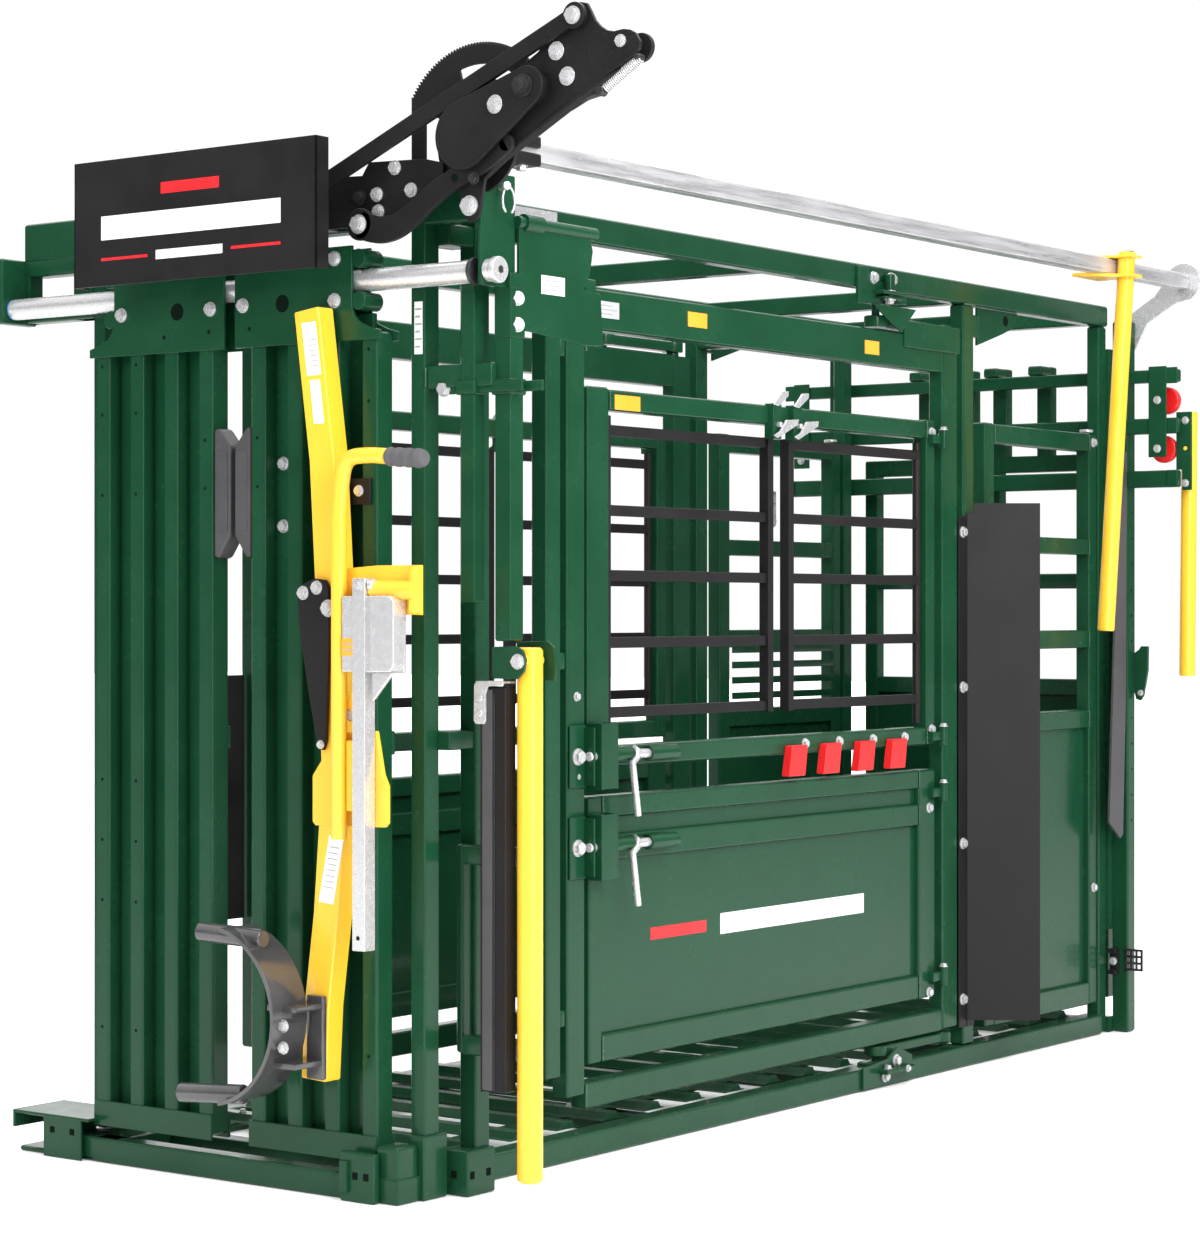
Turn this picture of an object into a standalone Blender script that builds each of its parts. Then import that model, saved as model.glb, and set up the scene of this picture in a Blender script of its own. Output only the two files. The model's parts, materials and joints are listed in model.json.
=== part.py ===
"""Cattle squeeze chute: welded frame, sliding head gate, parallel squeeze sides, doors and rear gate.

Metres, +Z up. X runs across the chute (+X is the operator's side), -Y is the head gate end,
+Y is the rear, and the origin lies on the floor under the middle of the chute.
"""

import math

import bmesh
import bpy
from mathutils import Matrix, Vector

# ---- driving dimensions -------------------------------------------------------------------
GAP = 0.0005            # clearance between pieces that touch
SIDE_IN = 0.415         # inner face of the side members
SIDE_OUT = 0.460        # outer face of the side members
RAIL_H = 0.057          # height of the base side rails
FRONT_Y = -1.660        # front end of the base side rails
REAR_Y = 1.392          # rear end of the base side rails
DECK_TOP = 0.075        # top of the floor slats
ROOF_LOW = 2.065        # underside of the roof rails
ROOF_TOP = 2.125        # top of the roof rails
GATE_LOW = 0.078        # lower end of the head gate halves
GATE_TUBE_TOP = 1.862   # top of the gate tubes
GATE_TOP = 2.000        # top of the gates' head plates
GATE_INNER = 0.055      # inner edge of each gate half, from the middle
GATE_OUTER = 0.415      # outer edge of each gate half
GATE_Y0 = -1.796        # front of the gate tubes
GATE_Y1 = -1.740        # back of the gate tubes
PIPE_Y = -1.768         # slide pipe axis
PIPE_Z = 1.928
PIPE_R = 0.024
SHAFT_X = 0.665         # control bar axis
SHAFT_Z = 2.190
BAR_HALF = 0.0225       # half width of the square control bar
QUADRANT_R = 0.200      # toothed quadrant, outer radius
ARM_Y = 0.170           # fixed pivots of the squeeze arms
ARM_LENGTH = 0.330
ARM_X = 0.4375
PANEL_FRONT = -1.272    # front post of the squeeze panel
PANEL_REAR = 0.560
PANEL_LOW = 0.108
PANEL_TOP = 1.963
HINGE_X = 0.478         # side doors' vertical hinge line
HINGE_Y = 0.452
PALP_Y = 1.380          # palpation doors' hinge line
REAR_GATE_Y = 1.545     # middle plane of the rear sliding gate
HANDLE_X = 0.710        # squeeze handle
HANDLE_Y = -1.655
HANDLE_Z = 1.130
HOLDER_X = 0.275        # head holder's pivot
HOLDER_Z = 1.800

GREEN = (0.010, 0.110, 0.050, 1.0)
YELLOW = (1.0, 0.50, 0.03, 1.0)
BLACK = (0.018, 0.018, 0.020, 1.0)
ZINC = (0.52, 0.53, 0.54, 1.0)
GREY = (0.060, 0.062, 0.066, 1.0)
RED = (0.70, 0.010, 0.015, 1.0)

for thing in list(bpy.data.objects):
    bpy.data.objects.remove(thing, do_unlink=True)


# ---- primitives: each returns (vertices, faces) with faces outward -------------------------
def box(x0, x1, y0, y1, z0, z1):
    """Axis-aligned box."""
    verts = [(x, y, z) for x in (x0, x1) for y in (y0, y1) for z in (z0, z1)]
    faces = [(0, 1, 3, 2), (4, 6, 7, 5), (0, 4, 5, 1), (2, 3, 7, 6), (0, 2, 6, 4), (1, 5, 7, 3)]
    return verts, faces


def prism(outline, axis, low, high):
    """Plate with a 2-D outline, extruded along an axis.

    The outline holds (X, Z) pairs for axis Y, (Y, Z) for axis X and (X, Y) for axis Z.
    """
    area = 0.0
    for (a, b), (c, d) in zip(outline, outline[1:] + outline[:1]):
        area += a * d - b * c
    pts = list(outline) if area > 0 else list(reversed(outline))
    if axis == "Y":
        pts.reverse()
    place = {
        "X": lambda p, t: (t, p[0], p[1]),
        "Y": lambda p, t: (p[0], t, p[1]),
        "Z": lambda p, t: (p[0], p[1], t),
    }[axis]
    n = len(pts)
    verts = [place(p, low) for p in pts] + [place(p, high) for p in pts]
    faces = [tuple(range(n - 1, -1, -1)), tuple(range(n, 2 * n))]
    for i in range(n):
        j = (i + 1) % n
        faces.append((i, j, n + j, n + i))
    return verts, faces


def rod(start, end, radius, sides=12, turn=0.5):
    """Round or square bar between two points."""
    a = Vector(start)
    b = Vector(end)
    d = (b - a).normalized()
    side = Vector((0, 0, 1)) if abs(d.z) < 0.9 else Vector((0, 1, 0))
    u = d.cross(side).normalized()
    v = d.cross(u)
    ring = []
    for i in range(sides):
        t = 2 * math.pi * (i + turn) / sides
        ring.append(u * math.cos(t) * radius + v * math.sin(t) * radius)
    verts = [tuple(a + r) for r in ring] + [tuple(b + r) for r in ring]
    faces = [tuple(range(sides - 1, -1, -1)), tuple(range(sides, 2 * sides))]
    for i in range(sides):
        j = (i + 1) % sides
        faces.append((i, j, sides + j, sides + i))
    return verts, faces


def sweep(points, half_w, half_d, normal, sides=4):
    """Bent bar through points that lie in one plane; mitred joints.

    half_w lies in the plane, half_d along the plane's normal. sides 4 gives a box section.
    """
    pts = [Vector(p) for p in points]
    n = Vector(normal).normalized()
    rings = []
    for i, p in enumerate(pts):
        before = (p - pts[i - 1]).normalized() if i else (pts[1] - p).normalized()
        after = (pts[i + 1] - p).normalized() if i + 1 < len(pts) else before
        along = (before + after).normalized()
        stretch = 1.0 / max(0.3, along.dot(after))
        u = n.cross(along).normalized() * stretch
        ring = []
        for k in range(sides):
            t = 2 * math.pi * (k + 0.5) / sides
            scale = math.sqrt(2) if sides == 4 else 1.0
            ring.append(p + u * math.cos(t) * half_w * scale + n * math.sin(t) * half_d * scale)
        rings.append(ring)
    verts = [tuple(v) for ring in rings for v in ring]
    last = (len(rings) - 1) * sides
    faces = [tuple(range(sides)), tuple(last + k for k in reversed(range(sides)))]
    for i in range(len(rings) - 1):
        for k in range(sides):
            m = (k + 1) % sides
            a = i * sides
            b = a + sides
            faces.append((a + k, b + k, b + m, a + m))
    return verts, faces


def arc(cx, cz, radius, start, end, steps):
    """Points on an arc, angles in degrees."""
    out = []
    for i in range(steps + 1):
        t = math.radians(start + (end - start) * i / steps)
        out.append((cx + radius * math.cos(t), cz + radius * math.sin(t)))
    return out


def tapered(ax, az, ar, bx, bz, br, steps=7):
    """Teardrop outline round two circles."""
    turn = math.degrees(math.atan2(bz - az, bx - ax))
    lean = math.degrees(math.acos((ar - br) / math.hypot(bx - ax, bz - az)))
    big = arc(ax, az, ar, turn + lean, turn + 360 - lean, steps + 3)
    small = arc(bx, bz, br, turn - lean, turn + lean, steps)
    return big + small


def mirrored(pieces):
    """The same pieces on the other side of the chute."""
    out = []
    for verts, faces in pieces:
        out.append(([(-x, y, z) for x, y, z in verts], [tuple(reversed(f)) for f in faces]))
    return out


def mesh_of(name, pieces):
    """One mesh datablock holding several closed shells, normals outward."""
    bm = bmesh.new()
    for verts, faces in pieces:
        made = [bm.verts.new(v) for v in verts]
        shell = [bm.faces.new([made[i] for i in f]) for f in faces]
        bmesh.ops.recalc_face_normals(bm, faces=shell)
    mesh = bpy.data.meshes.new(name)
    bm.to_mesh(mesh)
    bm.free()
    return mesh


MATERIALS = {}


def paint(name, colour, metallic, roughness):
    """Principled material of one node."""
    mat = bpy.data.materials.new(name)
    mat.use_nodes = True
    shader = mat.node_tree.nodes["Principled BSDF"]
    shader.inputs["Base Color"].default_value = colour
    shader.inputs["Metallic"].default_value = metallic
    shader.inputs["Roughness"].default_value = roughness
    mat.diffuse_color = colour
    return mat


def helper(name, pieces):
    """Hidden object used by a Boolean."""
    obj = bpy.data.objects.new(name, mesh_of(name, pieces))
    obj.hide_render = True
    obj.display_type = "WIRE"
    bpy.context.scene.collection.objects.link(obj)
    return obj


def weld(name, pieces, colour, cuts=(), origin=None):
    """One node: the pieces joined by a union, the cuts taken out, its origin on its joint's axis."""
    shift = Vector(origin) if origin else Vector((0, 0, 0))
    obj = bpy.data.objects.new(name, mesh_of(name, pieces[:1]))
    obj.data.transform(Matrix.Translation(-shift))
    obj.location = shift
    bpy.context.scene.collection.objects.link(obj)
    look = {GREEN: (0.0, 0.3), YELLOW: (0.0, 0.4), BLACK: (0.0, 0.5), ZINC: (1.0, 0.35)}
    metallic, roughness = look.get(colour, (0.0, 0.6))
    obj.data.materials.append(paint(name, colour, metallic, roughness))
    if len(pieces) > 1:
        union = obj.modifiers.new("weld", "BOOLEAN")
        union.operation = "UNION"
        union.solver = "EXACT"
        union.use_self = True
        union.object = helper(name + "_more", pieces[1:])
    if cuts:
        cut = obj.modifiers.new("cut", "BOOLEAN")
        cut.operation = "DIFFERENCE"
        cut.solver = "EXACT"
        cut.use_self = True
        cut.object = helper(name + "_cut", list(cuts))
    return obj


# ---- base and floor ------------------------------------------------------------------------
def base_frame():
    """Side rails, cross members, front channel with its notched feet and the arm brackets."""
    right = [
        box(SIDE_IN - 0.005, SIDE_OUT + 0.010, FRONT_Y, REAR_Y, 0.0, RAIL_H),
        box(0.328, 0.489, -1.815, -1.640, 0.0, 0.055),
        box(0.415, 0.470, ARM_Y - 0.06, ARM_Y + 0.06, 0.050, 0.066),
        box(0.465, 0.505, ARM_Y - 0.05, ARM_Y + 0.09, 0.020, 0.050),
        rod((ARM_X, ARM_Y, 0.060), (ARM_X, ARM_Y, 0.0905), 0.0105),
    ]
    pieces = right + mirrored(right)
    for y in (-1.640, -0.830, -0.030, 0.600, 1.340):
        pieces.append(box(-0.420, 0.420, y, y + 0.050, 0.0, 0.050))
    pieces.append(box(-0.400, 0.375, -1.820, -1.768, 0.0, 0.055))
    pieces.append(box(-0.640, -0.400, -1.815, -1.660, 0.0, 0.045))
    pieces.append(box(-0.656, -0.636, -1.830, -1.650, 0.0, 0.070))
    pieces.append(box(-0.656, -0.436, -1.832, -1.812, 0.0, 0.020))
    pieces.append(box(-0.656, -0.436, -1.832, -1.824, 0.0, 0.106))
    pieces.append(box(-0.656, -0.436, -1.832, -1.806, 0.098, 0.106))
    cuts = []
    for x in (0.372, 0.445):
        cuts.append(box(x - 0.009, x + 0.009, -1.90, -1.800, 0.015, 0.033))
    cuts.append(box(-0.625, -0.600, -1.90, -1.79, 0.012, 0.035))
    weld("base_frame", pieces, GREEN, cuts)


def floor_deck():
    """Hat-section slats on two runners."""
    pieces = []
    for x in (-0.300, 0.260):
        pieces.append(box(x, x + 0.040, -1.590, 1.400, 0.0503, 0.0585))
    y = -1.500
    while y < 1.360:
        if abs(y + 0.04 - ARM_Y) > 0.0:
            pieces.append(box(-0.404, 0.404, y, y + 0.085, 0.0575, DECK_TOP))
        y += 0.170
    weld("floor_deck", pieces, GREEN)


def roof_frame():
    """Two side rails, three cross members, gussets and the arms' upper brackets."""
    right = [
        box(SIDE_IN, SIDE_OUT, -1.600, 1.446, ROOF_LOW, ROOF_TOP),
        box(0.462 - 0.01, 0.500, ARM_Y - 0.187, ARM_Y + 0.127, 2.040, 2.105),
        box(0.4175, 0.4575, ARM_Y - 0.06, ARM_Y + 0.06, 2.030, 2.070),
        rod((ARM_X, ARM_Y, 2.040), (ARM_X, ARM_Y, 2.0005), 0.0105),
    ]
    pieces = right + mirrored(right)
    for y in (-1.540, -0.350, 0.620, 1.396):
        pieces.append(box(-0.420, 0.420, y, y + 0.050, 2.070, 2.120))
    weld("roof_frame", pieces, GREEN)


def head_gate_frame():
    """Columns, top beam, outrigger arm at the left and hanger plate at the right."""
    side = [
        box(0.450, 0.490, -1.730, -1.680, RAIL_H + GAP, 2.060),
        box(0.485, 0.530, -1.610, -1.560, RAIL_H + GAP, 2.060),
        box(0.455, 0.525, -1.700, -1.580, 2.000, 2.045),
        box(0.455, 0.525, -1.700, -1.580, 0.940, 0.980),
        box(0.462, 0.535, -1.650, -1.550, RAIL_H + GAP, 0.090),
    ]
    pieces = side + mirrored(side)
    pieces += [
        box(-0.720, 0.660, -1.730, -1.680, 2.040, 2.130),
        box(-0.745, -0.490, -1.730, -1.680, 1.900, 2.045),
        box(-0.745, -0.705, -1.805, -1.680, 1.895, 2.045),
        box(0.660 - 0.001, 0.688, -1.790, -1.676, 1.897, 2.130),
        box(0.450, 0.665, -1.728, -1.682, 1.695, 1.745),
        box(0.658, 0.702, -1.710, -1.664, 1.170, 1.930),
        box(0.480, 0.670, -1.660, -1.620, 0.700, 0.740),
        box(0.480, 0.670, -1.660, -1.620, 0.300, 0.340),
        box(0.500, 0.520, -1.640, -1.600, 0.300, 0.740),
        box(0.655, 0.745, -1.700, -1.686, 1.090, 1.190),
        box(0.655, 0.745, -1.624, -1.610, 1.090, 1.190),
        box(0.655, 0.745, -1.700, -1.610, 1.165, 1.190),
    ]
    cuts = [box(-0.70, -0.56, -1.80, -1.60, 1.94, 2.005)]
    weld("head_gate_frame", pieces, GREEN, cuts)


def mid_frame():
    """Portal between the squeeze section and the palpation section."""
    right = [
        box(SIDE_IN, SIDE_OUT, 0.590, 0.650, RAIL_H + GAP, ROOF_LOW - GAP),
        box(SIDE_IN + 0.005, SIDE_OUT - 0.005, 0.645, 0.690, 1.980, 2.040),
    ]
    pieces = right
    pieces.append(box(-0.420, 0.420, 0.600, 0.640, 1.985, 2.035))
    pieces += mirrored(right)
    weld("mid_frame", pieces, GREEN)


def rear_frame():
    """Rear portal with the sliding gate's rails and its outrigger plates."""
    right = [
        box(SIDE_IN, 0.456, 1.3925, 1.442, 0.0, 2.0645),
        box(0.462, 0.514, 1.463, 1.514, 0.0, 2.083),
        box(0.440, 0.470, 1.436, 1.470, 0.300, 2.000),
        box(0.440, 0.470, 1.436, 1.470, 0.0, 0.045),
        box(0.583, 0.640, 1.456, 1.470, 1.680, 1.944),
    ]
    pieces = right + mirrored(right)
    for z, tall in ((1.897, 0.038), (1.748, 0.046), (1.592, 0.050)):
        pieces.append(box(-0.672, 0.672, 1.462, 1.492, z, z + tall))
    weld("rear_frame", pieces, GREEN)


# ---- head gate -----------------------------------------------------------------------------
def gate_half(name, pad_name, sign):
    """One sliding half of the head gate and its neck pad."""
    pieces = []
    inner = GATE_INNER
    width = 0.045
    pitch = (GATE_OUTER - GATE_INNER - width) / 3
    for i in range(4):
        x = inner + i * pitch
        pieces.append(box(x, x + width, GATE_Y0, GATE_Y1, GATE_LOW + 0.01, GATE_TUBE_TOP))
    x0 = inner - 0.038
    x1 = GATE_OUTER + 0.012
    plate = [(x0, 1.800), (x1, 1.800), (x1, 1.824), (x1 - 0.018, 1.832), (x1 - 0.029, 1.850), (x1 - 0.029, GATE_TOP), (x0, GATE_TOP)]
    pieces.append(prism(plate, "Y", GATE_Y0 - 0.006, GATE_Y0 + 0.002))
    pieces.append(prism(plate, "Y", GATE_Y1 - 0.002, GATE_Y1 + 0.004))
    pieces.append(box(inner, GATE_OUTER, GATE_Y0 - 0.005, GATE_Y0 + 0.003, GATE_LOW, 0.135))
    pieces.append(box(inner, GATE_OUTER, GATE_Y1 - 0.010, GATE_Y1 + 0.004, GATE_LOW, 0.135))
    pieces.append(box(inner, GATE_OUTER, GATE_Y1 - 0.010, GATE_Y1 + 0.004, 0.930, 0.980))
    for x in (inner + 0.030, GATE_OUTER - 0.040):
        for z in (PIPE_Z + PIPE_R + 0.0205, PIPE_Z - PIPE_R - 0.0205):
            pieces.append(rod((x, GATE_Y0 - 0.004, z), (x, GATE_Y1 + 0.002, z), 0.020, 16))
    hole = rod((inner + 0.10, -1.90, 1.878), (inner + 0.10, GATE_Y0 + 0.010, 1.878), 0.019, 16)
    if sign > 0:
        pin = rod((HOLDER_X, -1.8115, HOLDER_Z), (HOLDER_X, GATE_Y0, HOLDER_Z), 0.016, 16)
        pieces.append(pin)
        pieces.append(box(HOLDER_X - 0.03, HOLDER_X + 0.03, -1.806, -1.795, HOLDER_Z - 0.03, HOLDER_Z + 0.03))
    cuts = [hole]
    edge = inner - GAP
    pad = [(edge, 1.347), (edge, 1.630), (0.040, 1.630), (0.0065, 1.589), (0.0065, 1.396), (0.040, 1.347)]
    pad_piece = [prism(pad, "Y", -1.794, -1.744)]
    if sign < 0:
        pieces = mirrored(pieces)
        cuts = mirrored(cuts)
        pad_piece = mirrored(pad_piece)
    weld(name, pieces, GREEN, cuts)
    weld(pad_name, pad_piece, GREY)


def slide_pipe():
    """Round pipe that the gate halves hang from."""
    weld("slide_pipe", [rod((-0.7045, PIPE_Y, PIPE_Z), (0.6585, PIPE_Y, PIPE_Z), PIPE_R, 24)], ZINC)


def sign_panel():
    """Folded cover in front of the linkage, on two brackets."""
    pieces = [
        box(-0.339, 0.368, -1.934, -1.930, 1.940, 2.214),
        box(0.364, 0.368, -1.934, -1.894, 1.940, 2.214),
        box(-0.339, -0.335, -1.934, -1.894, 1.940, 2.214),
        box(-0.335, -0.300, -1.932, -1.7305, 2.060, 2.120),
        box(0.225, 0.255, -1.932, -1.7305, 2.042, 2.075),
    ]
    weld("sign_panel", pieces, BLACK)


# ---- control linkage -----------------------------------------------------------------------
def toothed_quadrant():
    """Fixed ratchet plate round the control bar, with the bracket that holds it to the top beam."""
    outline = []
    teeth = 44
    for i in range(teeth):
        for part, radius in ((0.0, QUADRANT_R - 0.010), (0.35, QUADRANT_R), (0.75, QUADRANT_R)):
            t = math.radians(20 + 200 * (i + part) / teeth)
            outline.append((SHAFT_X + radius * math.cos(t), SHAFT_Z + radius * math.sin(t)))
    outline = [p for p in outline if p[1] > 2.135]
    outline += [(SHAFT_X - 0.19, 2.1310), (SHAFT_X + 0.18, 2.1310)]
    hole = rod((SHAFT_X, -1.80, SHAFT_Z), (SHAFT_X, -1.70, SHAFT_Z), 0.030, 20)
    slots = []
    for a in (65, 140, 165):
        t = math.radians(a)
        x = SHAFT_X + 0.125 * math.cos(t)
        z = SHAFT_Z + 0.125 * math.sin(t)
        slots.append(rod((x, -1.80, z), (x, -1.70, z), 0.018, 14))
    front = [(0.262, 2.065), (0.495, 2.065), (0.560, 2.135), (0.560, 2.174), (0.400, 2.174), (0.262, 2.120)]
    pieces = [
        prism(outline, "Y", -1.775, -1.767),
        prism(front, "Y", -1.7865, -1.7745),
        box(0.300, 0.480, -1.780, -1.7305, 2.072, 2.125),
    ]
    weld("toothed_quadrant", pieces, BLACK, [hole] + slots)


def control_bar():
    """Square bar along the chute with round journals."""
    pieces = [
        box(SHAFT_X - BAR_HALF, SHAFT_X + BAR_HALF, -1.690, 1.5120, SHAFT_Z - BAR_HALF, SHAFT_Z + BAR_HALF),
        rod((SHAFT_X, -1.8315, SHAFT_Z), (SHAFT_X, 1.560, SHAFT_Z), 0.0190, 20),
        box(SHAFT_X - 0.045, SHAFT_X + 0.045, -1.700, -1.688, SHAFT_Z - 0.035, SHAFT_Z + 0.035),
    ]
    origin = (SHAFT_X, 0.0, SHAFT_Z)
    weld("control_bar", pieces, ZINC, origin=origin)


def control_lever():
    """Hand lever: round tube in a saddle of two plates over the bar."""
    high = SHAFT_Z + BAR_HALF + GAP
    low = SHAFT_Z - BAR_HALF - GAP
    upper = [(0.630, 0.990), (0.700, 1.020), (0.748, 1.020), (0.748, 1.084), (0.630, 1.084)]
    lower = [(0.610, 0.930), (0.640, 0.930), (0.710, 1.015), (0.748, 1.020), (0.748, 1.084), (0.610, 1.084)]
    pieces = [
        prism(upper, "Z", high, high + 0.007),
        prism(lower, "Z", low - 0.009, low),
        rod((0.7170, 1.052, 2.230), (0.6520, 1.052, 1.178), 0.0235, 20),
    ]
    weld("control_lever", pieces, YELLOW, origin=(SHAFT_X, 0.0, SHAFT_Z))


def rocker():
    """Crank on the bar's front end: back plate, teardrop front plate and spacer bolts."""
    plate = [(0.956, 2.438), (0.983, 2.415), (1.005, 2.383), (1.038, 2.370), (1.076, 2.370), (1.101, 2.344)]
    plate += [(1.092, 2.321), (1.027, 2.296), (0.950, 2.266), (0.757, 2.165), (0.710, 2.110), (0.700, 2.030)]
    plate += [(0.670, 2.022), (0.655, 2.050), (0.644, 2.138), (0.600, 2.170), (0.592, 2.200), (0.612, 2.240)]
    plate += [(0.660, 2.262), (0.740, 2.290), (0.850, 2.350), (0.925, 2.425)]
    hole = rod((SHAFT_X, -1.82, SHAFT_Z), (SHAFT_X, -1.79, SHAFT_Z), 0.0196, 20)
    drop = tapered(SHAFT_X + 0.006, SHAFT_Z + 0.010, 0.074, 0.862, 2.284, 0.046)
    pieces = [
        prism(plate, "Y", -1.812, -1.803),
        prism(drop, "Y", -1.842, -1.832),
        rod((0.782, -1.835, 2.249), (0.782, -1.806, 2.249), 0.012),
        rod((0.862, -1.835, 2.284), (0.862, -1.806, 2.284), 0.012),
        rod((0.950, -1.815, 2.410), (0.950, -1.806, 2.410), 0.012),
        rod((1.074, -1.808, 2.345), (1.074, -1.7795, 2.345), 0.011),
    ]
    weld("rocker", pieces, BLACK, [hole], origin=(SHAFT_X, 0.0, SHAFT_Z))


def link_bar():
    """Flat bar from the crank to the left gate half."""
    a = (0.950, -1.822, 2.410)
    b = (-0.060, -1.822, 1.985)
    pieces = [
        sweep([b, a], 0.0175, 0.006, (0, 1, 0)),
        rod((a[0], -1.828, a[2]), (a[0], -1.816, a[2]), 0.027, 18),
        rod((b[0], -1.828, b[2]), (b[0], -1.816, b[2]), 0.027, 18),
    ]
    weld("link_bar", pieces, BLACK, origin=a)


def curved_arm():
    """Curved push arm on the right gate half."""
    path = [(0.393, 2.038), (0.450, 2.015), (0.520, 2.004), (0.585, 2.012), (0.640, 2.030), (0.687, 2.053), (0.725, 2.090)]
    pts = [(x, -1.822, z) for x, z in path]
    pieces = [
        sweep(pts, 0.024, 0.006, (0, 1, 0)),
        rod((0.393, -1.828, 2.038), (0.393, -1.816, 2.038), 0.034, 18),
        rod((0.725, -1.828, 2.090), (0.725, -1.816, 2.090), 0.026, 18),
    ]
    weld("curved_arm", pieces, BLACK, origin=(0.393, -1.822, 2.038))


def pawl():
    """Ratchet pawl on the crank's far end."""
    pieces = [
        sweep([(1.074, -1.771, 2.345), (0.873, -1.771, 2.234)], 0.014, 0.006, (0, 1, 0)),
        rod((1.074, -1.777, 2.345), (1.074, -1.765, 2.345), 0.022, 18),
    ]
    weld("pawl", pieces, BLACK, origin=(1.074, -1.771, 2.345))


def rear_bar_bracket():
    """Plate with an eye that carries the control bar's rear journal."""
    outline = [(0.4640, 2.000), (0.5120, 2.000), (0.5500, 2.075), (0.6450, 2.132)]
    outline += arc(SHAFT_X, SHAFT_Z, 0.055, -70, 170, 14)
    outline += [(0.5750, 2.155), (0.5120, 2.1150), (0.4640, 2.0830)]
    hole = rod((SHAFT_X, 1.48, SHAFT_Z), (SHAFT_X, 1.58, SHAFT_Z), 0.0196, 20)
    pieces = [prism(outline, "Y", 1.5145, 1.5245)]
    weld("rear_bar_bracket", pieces, ZINC, [hole])


# ---- head holder ---------------------------------------------------------------------------
def head_holder():
    """Tube, handle, friction lock, lock bar and chin bar; all but the lock bar turn together."""
    pivot = (HOLDER_X, -1.837, HOLDER_Z)
    y = -1.837
    path = [(0.275, 1.865), (0.318, 1.550), (0.345, 1.100), (0.352, 0.880), (0.330, 0.600), (0.305, 0.410), (0.296, 0.250)]
    pieces = [
        sweep([(x, y, z) for x, z in path], 0.034, 0.025, (0, 1, 0)),
        box(0.340, 0.400, -1.862, -1.830, 0.778, 0.880),
        box(0.380, 0.508, -1.862, -1.850, 0.778, 0.880),
        prism([(0.350, 1.224), (0.588, 1.224), (0.588, 1.326), (0.350, 1.300)], "Y", -1.862, -1.850),
        box(0.300, 0.350, -1.864, -1.860, 1.26, 1.32),
    ]
    weld("holder_arm", pieces, YELLOW, origin=pivot)
    hy = -1.885
    route = [(0.388, 0.760), (0.388, 1.440), (0.400, 1.490), (0.428, 1.528), (0.475, 1.550), (0.618, 1.541)]
    pieces = [sweep([(x, hy, z) for x, z in route], 0.0165, 0.0165, (0, 1, 0), 12)]
    pieces.append(box(0.375, 0.400, -1.880, -1.8625, 0.790, 0.860))
    pieces.append(box(0.355, 0.400, -1.880, -1.8625, 1.240, 1.290))
    weld("holder_handle", pieces, YELLOW, origin=pivot)
    hole = box(0.4345, 0.4705, -1.9005, -1.8645, 0.90, 1.40)
    pieces = [
        box(0.419, 0.548, -1.915, -1.8625, 1.110, 1.2235),
        box(0.405, 0.430, -1.905, -1.8625, 1.180, 1.2235),
    ]
    weld("lock_housing", pieces, ZINC, [hole], origin=pivot)
    weld("lock_bar", [box(0.435, 0.470, -1.900, -1.865, 0.533, 1.300)], ZINC, origin=(0.4525, -1.8825, 1.0))
    outer = arc(0.110, 0.385, 0.190, 78, -80, 12)
    inner = arc(0.110, 0.385, 0.180, -80, 78, 12)
    pieces = [
        prism(outer + inner, "Y", -1.990, -1.885),
        rod((0.060, -1.945, 0.553), (0.235, -1.945, 0.548), 0.021, 14),
        rod((0.000, -1.945, 0.208), (0.180, -1.945, 0.220), 0.021, 14),
        box(0.255, 0.335, -1.960, -1.8625, 0.285, 0.300),
        box(0.255, 0.335, -1.960, -1.8625, 0.400, 0.415),
        box(0.262, 0.335, -1.875, -1.8625, 0.255, 0.430),
    ]
    weld("chin_bar", pieces, BLACK, origin=pivot)


# ---- squeeze sides -------------------------------------------------------------------------
def squeeze_arm(side, sign):
    """Upper and lower swing arms of one squeeze side."""
    end = ARM_Y + ARM_LENGTH
    for where, z0, z1 in (("upper", 1.9705, 2.0000), ("lower", 0.0780, 0.1040)):
        pieces = [
            box(ARM_X - 0.020, ARM_X + 0.020, ARM_Y, end, z0, z1),
            rod((ARM_X, ARM_Y, z0), (ARM_X, ARM_Y, z1), 0.030, 18),
            rod((ARM_X, end, z0), (ARM_X, end, z1), 0.030, 18),
        ]
        cuts = []
        if where == "lower":
            cuts = [rod((ARM_X, ARM_Y, 0.060), (ARM_X, ARM_Y, 0.0911), 0.0110, 14)]
        if sign < 0:
            pieces = mirrored(pieces)
            cuts = mirrored(cuts)
        weld(f"squeeze_arm_{where}_{side}", pieces, GREEN, cuts, origin=(sign * ARM_X, ARM_Y, z0))


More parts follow.
